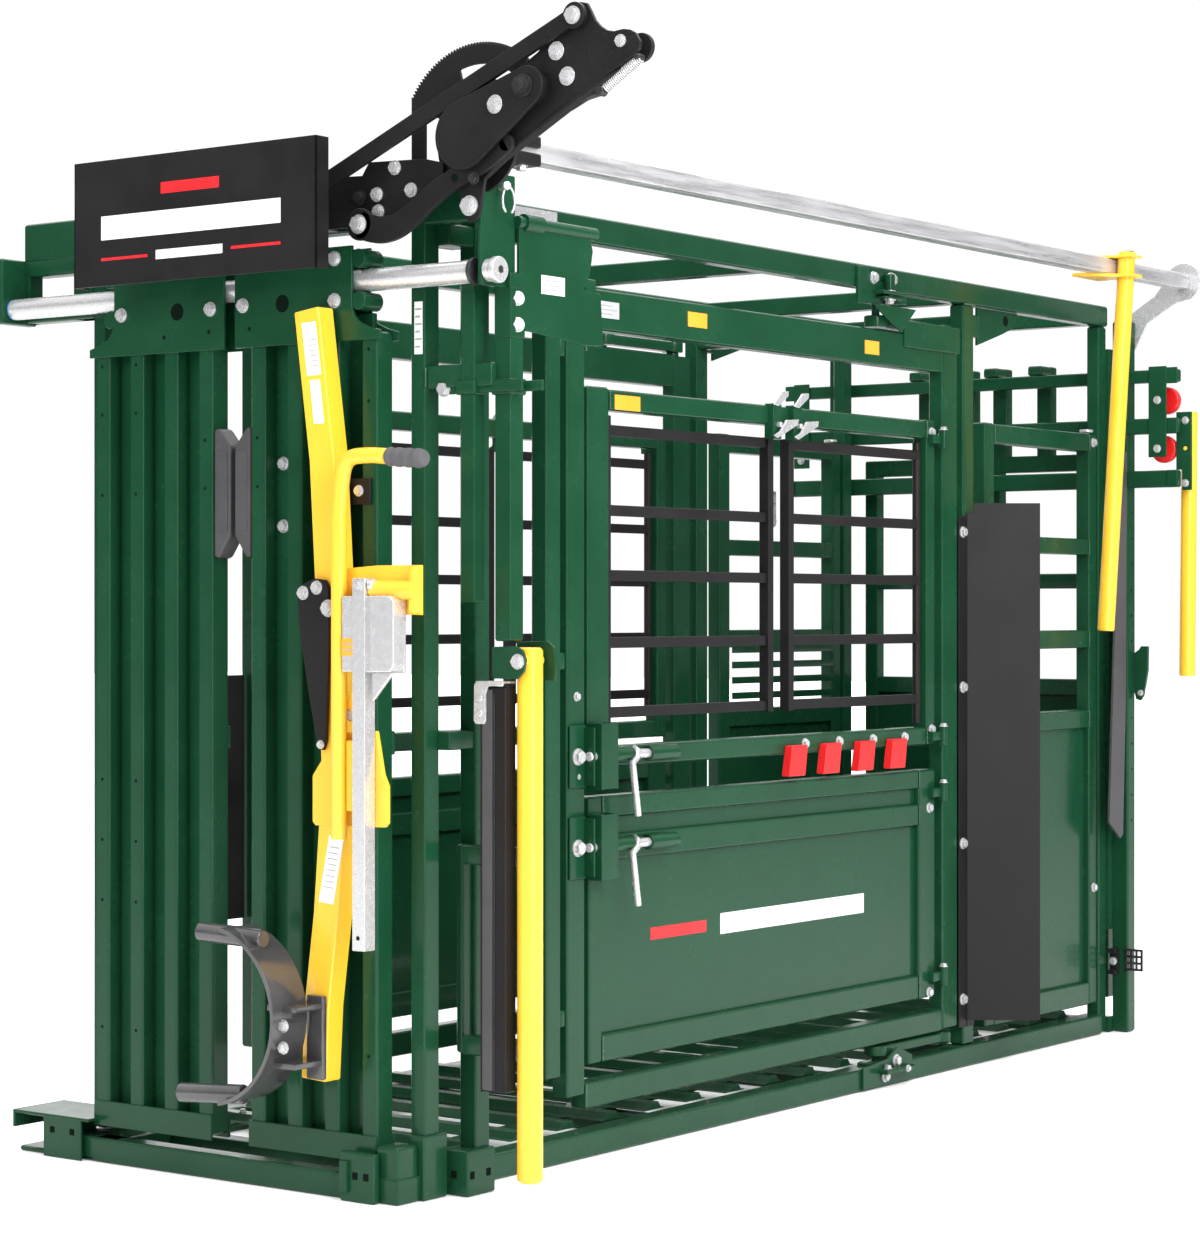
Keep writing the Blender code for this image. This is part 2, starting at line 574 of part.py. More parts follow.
def squeeze_panel(side, sign):
    """Frame of one squeeze side: posts, top and bottom rails."""
    pieces = [
        box(SIDE_IN, SIDE_OUT, -1.195, -1.125, 0.140, 1.963),
        box(SIDE_IN, SIDE_OUT, PANEL_FRONT, -1.215, 0.190, 1.900),
        box(SIDE_IN, SIDE_OUT, -1.190, PANEL_REAR, 1.870, PANEL_TOP),
        box(SIDE_IN, SIDE_OUT, -1.190, PANEL_REAR, PANEL_LOW, 0.168),
        box(SIDE_IN, SIDE_OUT, 0.478, PANEL_REAR, 0.112, 1.960),
        box(SIDE_IN + 0.004, SIDE_OUT - 0.004, -1.225, -1.185, 0.300, 0.340),
        box(SIDE_IN + 0.004, SIDE_OUT - 0.004, -1.225, -1.185, 1.100, 1.140),
        box(SIDE_IN + 0.004, SIDE_OUT - 0.004, -1.225, -1.185, 1.800, 1.840),
        rod((ARM_X, ARM_Y + ARM_LENGTH, 1.950), (ARM_X, ARM_Y + ARM_LENGTH, 1.9700), 0.018, 14),
    ]
    if sign < 0:
        pieces = mirrored(pieces)
    weld(f"squeeze_panel_{side}", pieces, GREEN, origin=(sign * ARM_X, ARM_Y + ARM_LENGTH, PANEL_LOW))


def hinge_barrel(z):
    """Knuckle of a side door on the hinge line."""
    return [
        rod((HINGE_X, HINGE_Y, z - 0.025), (HINGE_X, HINGE_Y, z + 0.025), 0.0125, 12),
        box(0.448, HINGE_X, 0.400, HINGE_Y, z - 0.012, z + 0.012),
    ]


def upper_door(side, sign):
    """Upper side door frame round the two windows."""
    pieces = [
        box(SIDE_IN, SIDE_OUT, -1.117, -1.032, 0.877, 1.742),
        box(SIDE_IN, SIDE_OUT, 0.395, 0.440, 0.877, 1.742),
        box(SIDE_IN, SIDE_OUT, -1.110, 0.435, 1.690, 1.738),
        box(SIDE_IN, SIDE_OUT, -1.110, 0.435, 0.877, 0.925),
    ]
    pieces += hinge_barrel(1.690) + hinge_barrel(0.900)
    if sign < 0:
        pieces = mirrored(pieces)
    weld(f"upper_door_{side}", pieces, GREEN, origin=(sign * HINGE_X, HINGE_Y, 0.877))


def lower_door(side, sign):
    """Solid lower side door."""
    pieces = [
        box(SIDE_IN, SIDE_OUT, -1.112, -1.060, 0.206, 0.812),
        box(SIDE_IN, SIDE_OUT, 0.355, 0.440, 0.206, 0.812),
        box(SIDE_IN, SIDE_OUT, -1.110, 0.435, 0.762, 0.812),
        box(SIDE_IN, SIDE_OUT, -1.110, 0.435, 0.664, 0.723),
        box(SIDE_IN, SIDE_OUT, -1.110, 0.435, 0.206, 0.270),
        box(0.436, 0.444, -1.100, 0.400, 0.230, 0.770),
    ]
    pieces += hinge_barrel(0.750) + hinge_barrel(0.260)
    if sign < 0:
        pieces = mirrored(pieces)
    weld(f"lower_door_{side}", pieces, GREEN, origin=(sign * HINGE_X, HINGE_Y, 0.206))


def window(side, sign, which, hinge_y, far_y):
    """Barred window gate: hinge rod, far upright and four bars."""
    x = ARM_X
    way = 1 if far_y > hinge_y else -1
    far = far_y - way * 0.0125
    pieces = [
        rod((x, hinge_y, 0.935), (x, hinge_y, 1.680), 0.011, 12),
        box(x - 0.014, x + 0.014, far - 0.0125, far + 0.0125, 0.985, 1.660),
    ]
    for z in (1.646, 1.463, 1.314, 1.160, 1.000):
        lo = min(hinge_y, far)
        hi = max(hinge_y, far)
        pieces.append(box(x - 0.009, x + 0.009, lo, hi, z - 0.0125, z + 0.0125))
    if sign < 0:
        pieces = mirrored(pieces)
    weld(f"window_{which}_{side}", pieces, BLACK, origin=(sign * x, hinge_y, 0.985))


def door_latches():
    """Latch bodies on the doors' front ends with their spring pins."""
    for name, z in (("upper", 0.905), ("lower", 0.700)):
        x = SIDE_OUT + GAP
        pieces = [
            box(x, x + 0.045, -1.108, -1.046, z - 0.075, z + 0.075),
        ]
        hole = rod((x + 0.022, -1.25, z), (x + 0.022, -1.00, z), 0.0125, 14)
        weld(f"latch_block_{name}", pieces, GREEN, [hole])
        pieces = [
            rod((x + 0.022, -1.215, z), (x + 0.022, -0.905, z), 0.0110, 14),
            rod((x + 0.022, -0.960, z + 0.010), (x + 0.022, -0.960, z - 0.150), 0.0075, 12),
        ]
        weld(f"latch_pin_{name}", pieces, ZINC, origin=(x + 0.022, -1.215, z))


def red_catches():
    """Plastic catches hung under the upper door's bottom rail."""
    for i, y in enumerate((-0.270, -0.110, 0.055, 0.214)):
        outline = [(y - 0.045, 0.824), (y + 0.030, 0.824), (y + 0.042, 0.900), (y - 0.030, 0.900)]
        piece = prism(outline, "X", SIDE_OUT + GAP, SIDE_OUT + 0.024)
        weld(f"door_catch_{i + 1}", [piece], RED)


def squeeze_handle():
    """Long hand lever of the squeeze."""
    pieces = [
        rod((HANDLE_X, HANDLE_Y, 1.155), (HANDLE_X, HANDLE_Y, 0.045), 0.0240, 20),
        rod((HANDLE_X, -1.6855, HANDLE_Z), (HANDLE_X, -1.6245, HANDLE_Z), 0.0150, 14),
    ]
    weld("squeeze_handle", pieces, YELLOW, origin=(HANDLE_X, HANDLE_Y, HANDLE_Z))


def lock_cover():
    """Folded cover beside the squeeze handle."""
    pieces = [
        box(0.600, 0.675, -1.705, -1.6605, 0.235, 1.067),
    ]
    weld("lock_cover", pieces, BLACK)


# ---- palpation section and rear gate -------------------------------------------------------
def palpation_door(side, sign):
    """Half-sheeted side door behind the squeeze section."""
    x0 = SIDE_IN
    x1 = SIDE_OUT
    pin_x = x0 - 0.012 if sign > 0 else x1 + 0.018
    pieces = [
        box(x0, x1, 0.709, 0.765, 0.092, 1.750),
        box(x0, x1, 1.325, 1.375, 0.092, 1.750),
        box(x0 + 0.018, x1 - 0.018, 0.720, 1.360, 0.100, 0.930),
    ]
    for z0, z1 in ((1.695, 1.747), (1.395, 1.442), (1.126, 1.178), (0.894, 0.947), (0.092, 0.157)):
        pieces.append(box(x0, x1, 0.720, 1.360, z0, z1))
    for z in (1.600, 0.400):
        pieces.append(rod((pin_x, PALP_Y, z - 0.025), (pin_x, PALP_Y, z + 0.025), 0.0110, 12))
        reach = sorted((pin_x, x0 + 0.012 if sign > 0 else x1 - 0.012))
        pieces.append(box(reach[0], reach[1], 1.345, PALP_Y, z - 0.012, z + 0.012))
    if sign < 0:
        pieces = mirrored(pieces)
    weld(f"palpation_door_{side}", pieces, GREEN, origin=(sign * pin_x, PALP_Y, 0.092))


def rear_gate(side, sign):
    """One sliding half of the rear gate on two roller hangers."""
    y0 = REAR_GATE_Y - 0.022
    y1 = REAR_GATE_Y + 0.022
    pieces = [
        box(0.012, 0.057, y0, y1, 0.090, 1.700),
        box(0.375, 0.420, y0, y1, 0.090, 1.700),
        box(0.030, 0.400, y0 + 0.018, y1 - 0.018, 0.100, 1.000),
        box(0.030, 0.080, y0, y1, 1.650, 1.965),
        box(0.180, 0.230, y0, y1, 1.650, 1.965),
        box(0.030, 0.080, 1.4665, y1, 1.9360, 1.965),
        box(0.180, 0.230, 1.4665, y1, 1.9360, 1.965),
    ]
    for z0, z1 in ((1.650, 1.700), (1.300, 1.345), (0.980, 1.030), (0.090, 0.150)):
        pieces.append(box(0.030, 0.400, y0 + 0.001, y1 - 0.001, z0, z1))
    if sign < 0:
        pieces = mirrored(pieces)
    weld(f"rear_gate_{side}", pieces, GREEN)


def rear_rollers():
    """Rollers in the outrigger plates."""
    for name, x, z, r in (("upper", 0.621, 1.8455, 0.040), ("lower", 0.612, 1.7045, 0.040)):
        piece = rod((x, 1.4925, z), (x, 1.5180, z), r, 24)
        weld(f"rear_roller_{name}", [piece], RED, origin=(x, 1.505, z))


def rear_lever():
    """Plate and hand lever of the rear gate."""
    plate = [(0.6725, 1.584), (0.700, 1.584), (0.700, 1.811), (0.6535, 1.811), (0.6535, 1.6435), (0.6725, 1.6435)]
    pieces = [
        prism(plate, "Y", 1.4935, 1.5035),
        box(0.676, 0.694, 1.500, 1.5165, 1.650, 1.680),
        box(0.676, 0.694, 1.500, 1.5165, 1.740, 1.770),
    ]
    weld("rear_lever_plate", pieces, GREEN, origin=(0.677, 1.500, 1.790))
    weld("rear_lever", [rod((0.6745, 1.5400, 1.813), (0.6665, 1.5400, 1.044), 0.0230, 20)], YELLOW, origin=(0.677, 1.500, 1.790))


def rear_latch():
    """Drop latch on the rear post."""
    outline = [(0.5165, 1.000), (0.522, 0.975), (0.537, 0.970), (0.547, 0.985), (0.560, 1.060), (0.561, 1.130), (0.538, 1.130), (0.532, 1.120), (0.5165, 1.110)]
    pieces = [prism(outline, "Y", 1.4980, 1.5090)]
    weld("rear_latch", pieces, GREEN, origin=(0.535, 1.5035, 0.990))


def outer_panels():
    """Wing plate behind the squeeze side and the guide strip on the rear post."""
    ring = [(0.4650, 0.600), (0.4650 + 0.16, 0.600 + 0.118), (0.4614 + 0.16, 0.605 + 0.118), (0.4614, 0.605)]
    notch = box(0.40, 0.480, 0.55, 0.65, 1.500, 1.560)
    low = box(0.60, 0.70, 0.60, 0.80, 0.050, 0.125)
    pieces = [
        prism(ring, "Z", 0.108, 1.525),
        box(SIDE_OUT + GAP, 0.4660, 0.600, 0.640, 0.108, 1.525),
    ]
    weld("wing_plate", pieces, BLACK, [notch, low])
    strip = [(1.3500, 0.620), (1.4200, 0.571), (1.4360, 0.582), (1.4550, 1.000), (1.4615, 1.698), (1.4200, 1.698)]
    weld("guide_strip", [prism(strip, "X", 0.5050, 0.5130)], BLACK)


base_frame()
floor_deck()
roof_frame()
head_gate_frame()
mid_frame()
rear_frame()
gate_half("right_gate", "right_neck_pad", 1)
gate_half("left_gate", "left_neck_pad", -1)
slide_pipe()
sign_panel()
toothed_quadrant()
control_bar()
control_lever()
rocker()
link_bar()
curved_arm()
pawl()
rear_bar_bracket()
head_holder()
for SIDE, SIGN in (("right", 1), ("left", -1)):
    squeeze_arm(SIDE, SIGN)
    squeeze_panel(SIDE, SIGN)
    upper_door(SIDE, SIGN)
    lower_door(SIDE, SIGN)
    window(SIDE, SIGN, "front", -1.016, -0.335)
    window(SIDE, SIGN, "rear", 0.379, -0.267)
    palpation_door(SIDE, SIGN)
    rear_gate(SIDE, SIGN)
door_latches()
red_catches()
squeeze_handle()
lock_cover()
rear_rollers()
rear_lever()
rear_latch()
outer_panels()
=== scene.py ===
"""Looks of the cattle squeeze chute: painted members, hardware, coatings, labels and the studio."""

from __future__ import annotations

import json
import logging
import math
from dataclasses import dataclass, field
from enum import Enum
from itertools import product

import bmesh
import bpy
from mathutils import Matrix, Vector

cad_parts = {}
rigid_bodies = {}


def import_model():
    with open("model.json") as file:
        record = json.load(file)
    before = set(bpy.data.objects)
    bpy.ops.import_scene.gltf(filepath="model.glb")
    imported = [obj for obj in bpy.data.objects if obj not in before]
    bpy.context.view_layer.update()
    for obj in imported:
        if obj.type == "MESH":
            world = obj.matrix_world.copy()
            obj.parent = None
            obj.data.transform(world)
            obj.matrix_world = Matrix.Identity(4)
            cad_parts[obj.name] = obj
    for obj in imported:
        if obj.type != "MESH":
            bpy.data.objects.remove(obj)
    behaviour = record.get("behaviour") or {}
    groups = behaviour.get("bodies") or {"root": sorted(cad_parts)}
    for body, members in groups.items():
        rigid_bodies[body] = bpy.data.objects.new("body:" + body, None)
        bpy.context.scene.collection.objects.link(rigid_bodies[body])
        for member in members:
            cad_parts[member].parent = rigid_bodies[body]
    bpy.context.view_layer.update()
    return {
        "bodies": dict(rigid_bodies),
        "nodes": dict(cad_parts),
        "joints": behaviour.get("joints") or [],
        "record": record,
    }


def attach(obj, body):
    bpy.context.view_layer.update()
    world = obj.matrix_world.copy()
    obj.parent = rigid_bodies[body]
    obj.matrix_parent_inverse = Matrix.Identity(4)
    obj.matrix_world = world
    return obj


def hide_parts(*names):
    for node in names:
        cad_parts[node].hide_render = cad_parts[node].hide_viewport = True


LOG = logging.getLogger("squeeze_chute")
Point = tuple[float, float, float]
Flat = tuple[float, float]
Shell = tuple[list[Point], list[tuple[int, ...]]]
Row = tuple[float, ...]

FRONT: Point = (0, -1, 0)
OUTWARD: Point = (1, 0, 0)
UP: Point = (0, 0, 1)
DOWN: Point = (0, 0, -1)
DUST_COLOUR = (0.34, 0.31, 0.26, 1.0)
LABEL_THICK = 0.0006
BOX_FACES = [(0, 1, 3, 2), (4, 6, 7, 5), (0, 4, 5, 1), (2, 3, 7, 6), (0, 2, 6, 4), (1, 5, 7, 3)]


class Slot(Enum):
    """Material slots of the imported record."""

    GREEN = "green_paint"
    YELLOW = "yellow_coat"
    BLACK = "black_coat"
    ZINC = "galvanised"
    RED = "red_plastic"
    RUBBER = "grey_rubber"


class Coat(Enum):
    """Finishes of the chute, each by the name of its material."""

    GREEN = "green_gloss_paint"
    YELLOW = "yellow_powder_coat"
    BLACK = "black_textured_coat"
    SATIN = "black_satin_panel"
    GALVANISED = "galvanised_steel"
    PLATED = "bright_zinc_plate"
    DARK = "dark_steel"
    RED = "red_moulded_plastic"
    RUBBER = "grey_moulded_rubber"
    GRIP = "grey_foam_grip"
    GLOSS = "black_gloss_coat"
    HOLE = "hole_shadow"
    WHITE = "label_white"
    ORANGE = "label_orange"
    GREY = "label_grey"
    SILVER = "label_silver"
    MARK = "mark_red"
    BLUE = "label_blue"
    WELD = "green_painted_weld"


class Axis(Enum):
    """Axes that a flat piece can stand on."""

    X = "X"
    Y = "Y"
    Z = "Z"


class Face(Enum):
    """Sides of the chute that carry labels, with the step that leads out of each."""

    OPERATOR = 1
    FRONT = -1


class Stud(Enum):
    """Kinds of small hardware that are spread over points."""

    BOLT = "bolts"
    DARK_BOLT = "dark_bolts"
    HOLE = "holes"


class Wires:
    """Short way to place and join the nodes of one tree."""

    def __init__(self, tree: bpy.types.NodeTree) -> None:
        """Keeps the tree."""
        self.tree = tree

    @classmethod
    def group(cls, kind: str, name: str, inputs: dict[str, float], outputs: tuple[str, ...] = ()) -> Wires:
        """Starts a node group.

        Args:
            kind: type of the tree; a Geometry Nodes tree also gets a geometry in and out.
            name: name of the group.
            inputs: default value of each float input.
            outputs: names of its float outputs.

        Returns:
            The wires of the new group.
        """
        tree = bpy.data.node_groups.new(name, kind)
        if kind == "GeometryNodeTree":
            for way in ("INPUT", "OUTPUT"):
                tree.interface.new_socket("Geometry", in_out=way, socket_type="NodeSocketGeometry")
        for key, value in inputs.items():
            sock = tree.interface.new_socket(key, in_out="INPUT", socket_type="NodeSocketFloat")
            sock.default_value = value
        for key in outputs:
            tree.interface.new_socket(key, in_out="OUTPUT", socket_type="NodeSocketFloat")
        tree.nodes.new("NodeGroupInput").name = "in"
        tree.nodes.new("NodeGroupOutput").name = "out"
        return cls(tree)

    def feed(self, node: bpy.types.Node, inputs: dict[str | int, object]) -> None:
        """Sets a node's inputs: a socket is linked, anything else is a plain value."""
        for key, value in inputs.items():
            if isinstance(value, bpy.types.NodeSocket):
                self.tree.links.new(value, node.inputs[key])
            else:
                node.inputs[key].default_value = value

    def node(self, kind: str, inputs: dict[str | int, object] | None = None, **settings: object) -> bpy.types.Node:
        """Places a node.

        Args:
            kind: its type.
            inputs: by name or number, a value or the output that feeds it.
            settings: properties of the node itself.

        Returns:
            The node.
        """
        made = self.tree.nodes.new(kind)
        for key, value in settings.items():
            setattr(made, key, value)
        self.feed(made, inputs or {})
        return made

    def entry(self, name: str) -> bpy.types.NodeSocket:
        """Returns one of the group's inputs."""
        return self.tree.nodes["in"].outputs[name]

    def math(self, operation: str, *values: object, clamp: bool = False) -> bpy.types.NodeSocket:
        """Returns the result of a math node on these values or sockets."""
        return self.node("ShaderNodeMath", dict(enumerate(values)), operation=operation, use_clamp=clamp).outputs[0]

    def spread(self, value: bpy.types.NodeSocket, limits: dict[str, object],
            smooth: bool = False) -> bpy.types.NodeSocket:
        """Returns a value mapped from one range to another."""
        shape = "SMOOTHSTEP" if smooth else "LINEAR"
        return self.node("ShaderNodeMapRange", {"Value": value, **limits}, interpolation_type=shape).outputs["Result"]

    def blend(self, mask: bpy.types.NodeSocket, low: object, high: object) -> bpy.types.NodeSocket:
        """Returns a colour mixed from low to high by a mask."""
        return self.node("ShaderNodeMix", {0: mask, 6: low, 7: high}, data_type="RGBA").outputs[2]


# ---- finishes -------------------------------------------------------------------------------
class NodeGroups:
    """Shader node groups that several finishes share."""

    def __init__(self) -> None:
        """Builds each group once."""
        self.grain = self._grain()
        self.dust = self._dust()

    @staticmethod
    def _grain() -> bpy.types.NodeTree:
        """Builds the coating's texture.

        Returns:
            A group that puts out a height for bump, a fine mask and a broad mask.
        """
        inputs = {"Fine scale": 900.0, "Broad scale": 7.0, "Detail": 3.0, "Along Y": 1.0}
        wires = Wires.group("ShaderNodeTree", "coating_grain", inputs, ("Height", "Fine", "Broad"))
        coord = wires.node("ShaderNodeTexCoord").outputs["Object"]
        stretch = wires.node("ShaderNodeCombineXYZ", {"X": 1.0, "Y": wires.entry("Along Y"), "Z": 1.0}).outputs[0]
        place = wires.node("ShaderNodeVectorMath", {0: coord, 1: stretch}, operation="MULTIPLY").outputs[0]
        fine = wires.node("ShaderNodeTexNoise", {"Vector": place, "Scale": wires.entry("Fine scale"),
            "Detail": wires.entry("Detail"), "Roughness": 0.6}).outputs["Fac"]
        broad = wires.node("ShaderNodeTexNoise", {"Vector": place, "Scale": wires.entry("Broad scale"), "Detail": 4.0,
            "Roughness": 0.62}).outputs["Fac"]
        mask = wires.spread(broad, {"From Min": 0.35, "From Max": 0.65})
        wires.feed(wires.tree.nodes["out"], {"Height": fine, "Fine": fine, "Broad": mask})
        return wires.tree

    @staticmethod
    def _dust() -> bpy.types.NodeTree:
        """Builds thin settled dust, strongest on faces that look up and low on the machine.

        Returns:
            A group that puts out the dust's mask.
        """
        wires = Wires.group("ShaderNodeTree", "settled_dust", {"Amount": 0.3, "Fade height": 0.5}, ("Mask",))
        normal = wires.node("ShaderNodeNewGeometry").outputs["Normal"]
        coord = wires.node("ShaderNodeTexCoord").outputs["Object"]
        height = wires.node("ShaderNodeSeparateXYZ", {0: coord}).outputs["Z"]
        tilt = wires.node("ShaderNodeSeparateXYZ", {0: normal}).outputs["Z"]
        low = wires.spread(height, {"From Min": 0.0, "From Max": wires.entry("Fade height"), "To Min": 1.0,
            "To Max": 0.15})
        up = wires.spread(tilt, {"From Min": 0.2, "From Max": 1.0, "To Min": 0.25})
        noise = wires.node("ShaderNodeTexNoise", {"Vector": coord, "Scale": 14.0, "Detail": 5.0}).outputs["Fac"]
        thick = wires.math("MULTIPLY", wires.math("MULTIPLY", low, up), noise)
        wires.feed(wires.tree.nodes["out"],
            {"Mask": wires.math("MULTIPLY", thick, wires.entry("Amount"), clamp=True)})
        return wires.tree


@dataclass(frozen=True)
class Finish:
    """One surface finish, built as a Principled material.

    Base and variant are mixed by the broad mask, roughness runs between two limits,
    and bump is the height of the coating's texture in millimetres.
    """

    kind: Coat
    base: Point
    variant: Point
    rough_low: float
    rough_high: float
    metallic: float = 0.0
    coat: float = 0.0
    coat_roughness: float = 0.1
    fine_scale: float = 900.0
    broad_scale: float = 7.0
    bump_mm: float = 0.05
    speckle: Point | None = None
    speckle_at: float = 0.62
    speckle_edge: float = 0.08
    dust: float = 0.0
    along_y: float = 1.0
    specular: float = 0.5

    def build(self, groups: NodeGroups) -> bpy.types.Material:
        """Makes the material.

        Args:
            groups: the shared shader node groups.

        Returns:
            The finished material.
        """
        mat = bpy.data.materials.new(self.kind.value)
        mat.use_nodes = True
        mat.diffuse_color = (*self.base, 1.0)
        wires = Wires(mat.node_tree)
        scales = {"Fine scale": self.fine_scale, "Broad scale": self.broad_scale, "Along Y": self.along_y}
        grain = wires.node("ShaderNodeGroup", scales, node_tree=groups.grain).outputs
        colour = wires.blend(grain["Broad"], (*self.base, 1.0), (*self.variant, 1.0))
        if self.speckle:
            edge = {"From Min": self.speckle_at, "From Max": self.speckle_at + self.speckle_edge}
            colour = wires.blend(wires.spread(grain["Fine"], edge), colour, (*self.speckle, 1.0))
        if self.dust > 0.0:
            dust = wires.node("ShaderNodeGroup", {"Amount": self.dust}, node_tree=groups.dust)
            colour = wires.blend(dust.outputs["Mask"], colour, DUST_COLOUR)
        shader: dict[str | int, object] = {"Base Color": colour,
            "Roughness": wires.spread(grain["Broad"], {"To Min": self.rough_low, "To Max": self.rough_high}),
            "Metallic": self.metallic, "Coat Weight": self.coat, "Coat Roughness": self.coat_roughness,
            "Specular IOR Level": self.specular}
        if self.bump_mm > 0.0:
            relief = {"Strength": 1.0, "Distance": self.bump_mm / 1000.0, "Height": grain["Height"]}
            shader["Normal"] = wires.node("ShaderNodeBump", relief).outputs["Normal"]
        wires.feed(mat.node_tree.nodes["Principled BSDF"], shader)
        return mat


FINISHES = (Finish(Coat.GREEN, (0.0062, 0.05, 0.021), (0.008, 0.06, 0.026), 0.18, 0.3, coat=0.13, coat_roughness=0.05,
    fine_scale=160.0, broad_scale=5.0, bump_mm=0.08, dust=0.06, specular=0.18),
    Finish(Coat.YELLOW, (0.96, 0.53, 0.028), (0.98, 0.56, 0.036), 0.3, 0.42, coat=0.35, coat_roughness=0.15,
    fine_scale=420.0, bump_mm=0.12, dust=0.04), Finish(Coat.BLACK, (0.0075, 0.0066, 0.0075), (0.0105, 0.0095, 0.0105),
    0.4, 0.55, fine_scale=620.0, bump_mm=0.3, speckle=(0.035, 0.034, 0.036), speckle_at=0.62, dust=0.03,
    specular=0.25), Finish(Coat.SATIN, (0.007, 0.006, 0.007), (0.009, 0.008, 0.009), 0.3, 0.4, coat=0.15,
    coat_roughness=0.25, fine_scale=900.0, bump_mm=0.05, specular=0.4),
    Finish(Coat.GALVANISED, (0.4, 0.4, 0.415), (0.62, 0.62, 0.63), 0.24, 0.42, metallic=0.5, fine_scale=300.0,
    broad_scale=70.0, bump_mm=0.05, along_y=0.05), Finish(Coat.PLATED, (0.62, 0.62, 0.635), (0.655, 0.655, 0.665),
    0.22, 0.3, metallic=0.55, fine_scale=400.0, broad_scale=60.0, bump_mm=0.02),
    Finish(Coat.DARK, (0.03, 0.03, 0.032), (0.05, 0.05, 0.052), 0.3, 0.45, metallic=0.5, fine_scale=400.0,
    broad_scale=40.0, bump_mm=0.05), Finish(Coat.RED, (0.75, 0.012, 0.014), (0.82, 0.018, 0.02), 0.28, 0.38,
    fine_scale=500.0, bump_mm=0.04), Finish(Coat.RUBBER, (0.05, 0.048, 0.052), (0.065, 0.063, 0.067), 0.45, 0.6,
    fine_scale=700.0, bump_mm=0.15), Finish(Coat.GRIP, (0.085, 0.085, 0.092), (0.11, 0.11, 0.115), 0.75, 0.85,
    fine_scale=500.0, bump_mm=0.5), Finish(Coat.GLOSS, (0.05, 0.048, 0.051), (0.075, 0.073, 0.076), 0.12, 0.24,
    coat=0.6, coat_roughness=0.08, fine_scale=120.0, bump_mm=0.25),
    Finish(Coat.HOLE, (0.003, 0.008, 0.005), (0.004, 0.01, 0.007), 0.8, 0.9, bump_mm=0.0, specular=0.05),
    Finish(Coat.WHITE, (0.86, 0.87, 0.86), (0.8, 0.81, 0.81), 0.35, 0.45, bump_mm=0.0),
    Finish(Coat.ORANGE, (1.0, 0.36, 0.02), (1.0, 0.4, 0.04), 0.35, 0.45, bump_mm=0.0),
    Finish(Coat.GREY, (0.36, 0.37, 0.38), (0.32, 0.33, 0.34), 0.35, 0.45, bump_mm=0.0),
    Finish(Coat.SILVER, (0.52, 0.53, 0.54), (0.6, 0.61, 0.62), 0.3, 0.4, metallic=0.2, bump_mm=0.0),
    Finish(Coat.MARK, (0.8, 0.012, 0.018), (0.85, 0.015, 0.02), 0.35, 0.45, bump_mm=0.0),
    Finish(Coat.BLUE, (0.03, 0.2, 0.48), (0.04, 0.22, 0.5), 0.35, 0.45, bump_mm=0.0),
    Finish(Coat.WELD, (0.0075, 0.056, 0.024), (0.01, 0.066, 0.029), 0.2, 0.32, coat=0.5, coat_roughness=0.1,
    fine_scale=300.0, bump_mm=0.5))


@dataclass
class Finishes:
    """Every finish of the chute, built as a material."""

    made: dict[Coat, bpy.types.Material] = field(default_factory=dict)

    def __post_init__(self) -> None:
        """Builds the materials."""
        groups = NodeGroups()
        self.made.update({finish.kind: finish.build(groups) for finish in FINISHES})

    def __getitem__(self, coat: Coat) -> bpy.types.Material:
        """Returns a material by its finish."""
        return self.made[coat]


# ---- mesh shapes ----------------------------------------------------------------------------
def box(x0: float, x1: float, y0: float, y1: float, z0: float, z1: float) -> Shell:
    """Axis-aligned box."""
    verts = [(x, y, z) for x in (x0, x1) for y in (y0, y1) for z in (z0, z1)]
    return verts, BOX_FACES


def bar(x0: float, x1: float, y0: float, y1: float, z0: float, z1: float, edge: float = 0.0045) -> Shell:
    """Box with chamfered edges, as a rolled tube has.

    Args:
        x0: low side along X, and x1 the high side; the same for Y and Z.
        edge: width of the chamfer.

    Returns:
        The shell. Bars along X and Y are a hair thinner than posts, so that faces never coincide.
    """
    size = (x1 - x0, y1 - y0, z1 - z0)
    edge = min(edge, 0.35 * min(size))
    if min(size) > 0.012 and size[2] < max(size[0], size[1]):
        thin = 0.0004 if size[1] > size[0] else 0.0007
        if size[1] > size[0]:
            x0, x1 = x0 + thin, x1 - thin
        else:
            y0, y1 = y0 + thin, y1 - thin
    lo = (x0, y0, z0)
    hi = (x1, y1, z1)
    verts: list[Point] = []
    index = {}
    for at in product((0, 1), repeat=3):
        corner = [(lo, hi)[s][i] for i, s in enumerate(at)]
        inner = [c - edge if s else c + edge for c, s in zip(corner, at)]
        for axis in range(3):
            index[(*at, axis)] = len(verts)
            verts.append(tuple(corner[i] if i == axis else inner[i] for i in range(3)))
    faces: list[tuple[int, ...]] = []
    rim = ((0, 0), (1, 0), (1, 1), (0, 1))
    for axis in range(3):
        a, b = [i for i in range(3) if i != axis]
        for side in (0, 1):
            face = []
            for p, q in rim:
                key = [0, 0, 0]
                key[axis], key[a], key[b] = side, p, q
                face.append(index[(*key, axis)])
            faces.append(tuple(face))
        for p, q in rim:
            low = [0, 0, 0]
            high = [0, 0, 0]
            low[a] = high[a] = p
            low[b] = high[b] = q
            high[axis] = 1
            faces.append((index[(*low, a)], index[(*high, a)], index[(*high, b)], index[(*low, b)]))
    for at in product((0, 1), repeat=3):
        faces.append(tuple(index[(*at, axis)] for axis in range(3)))
    return verts, faces


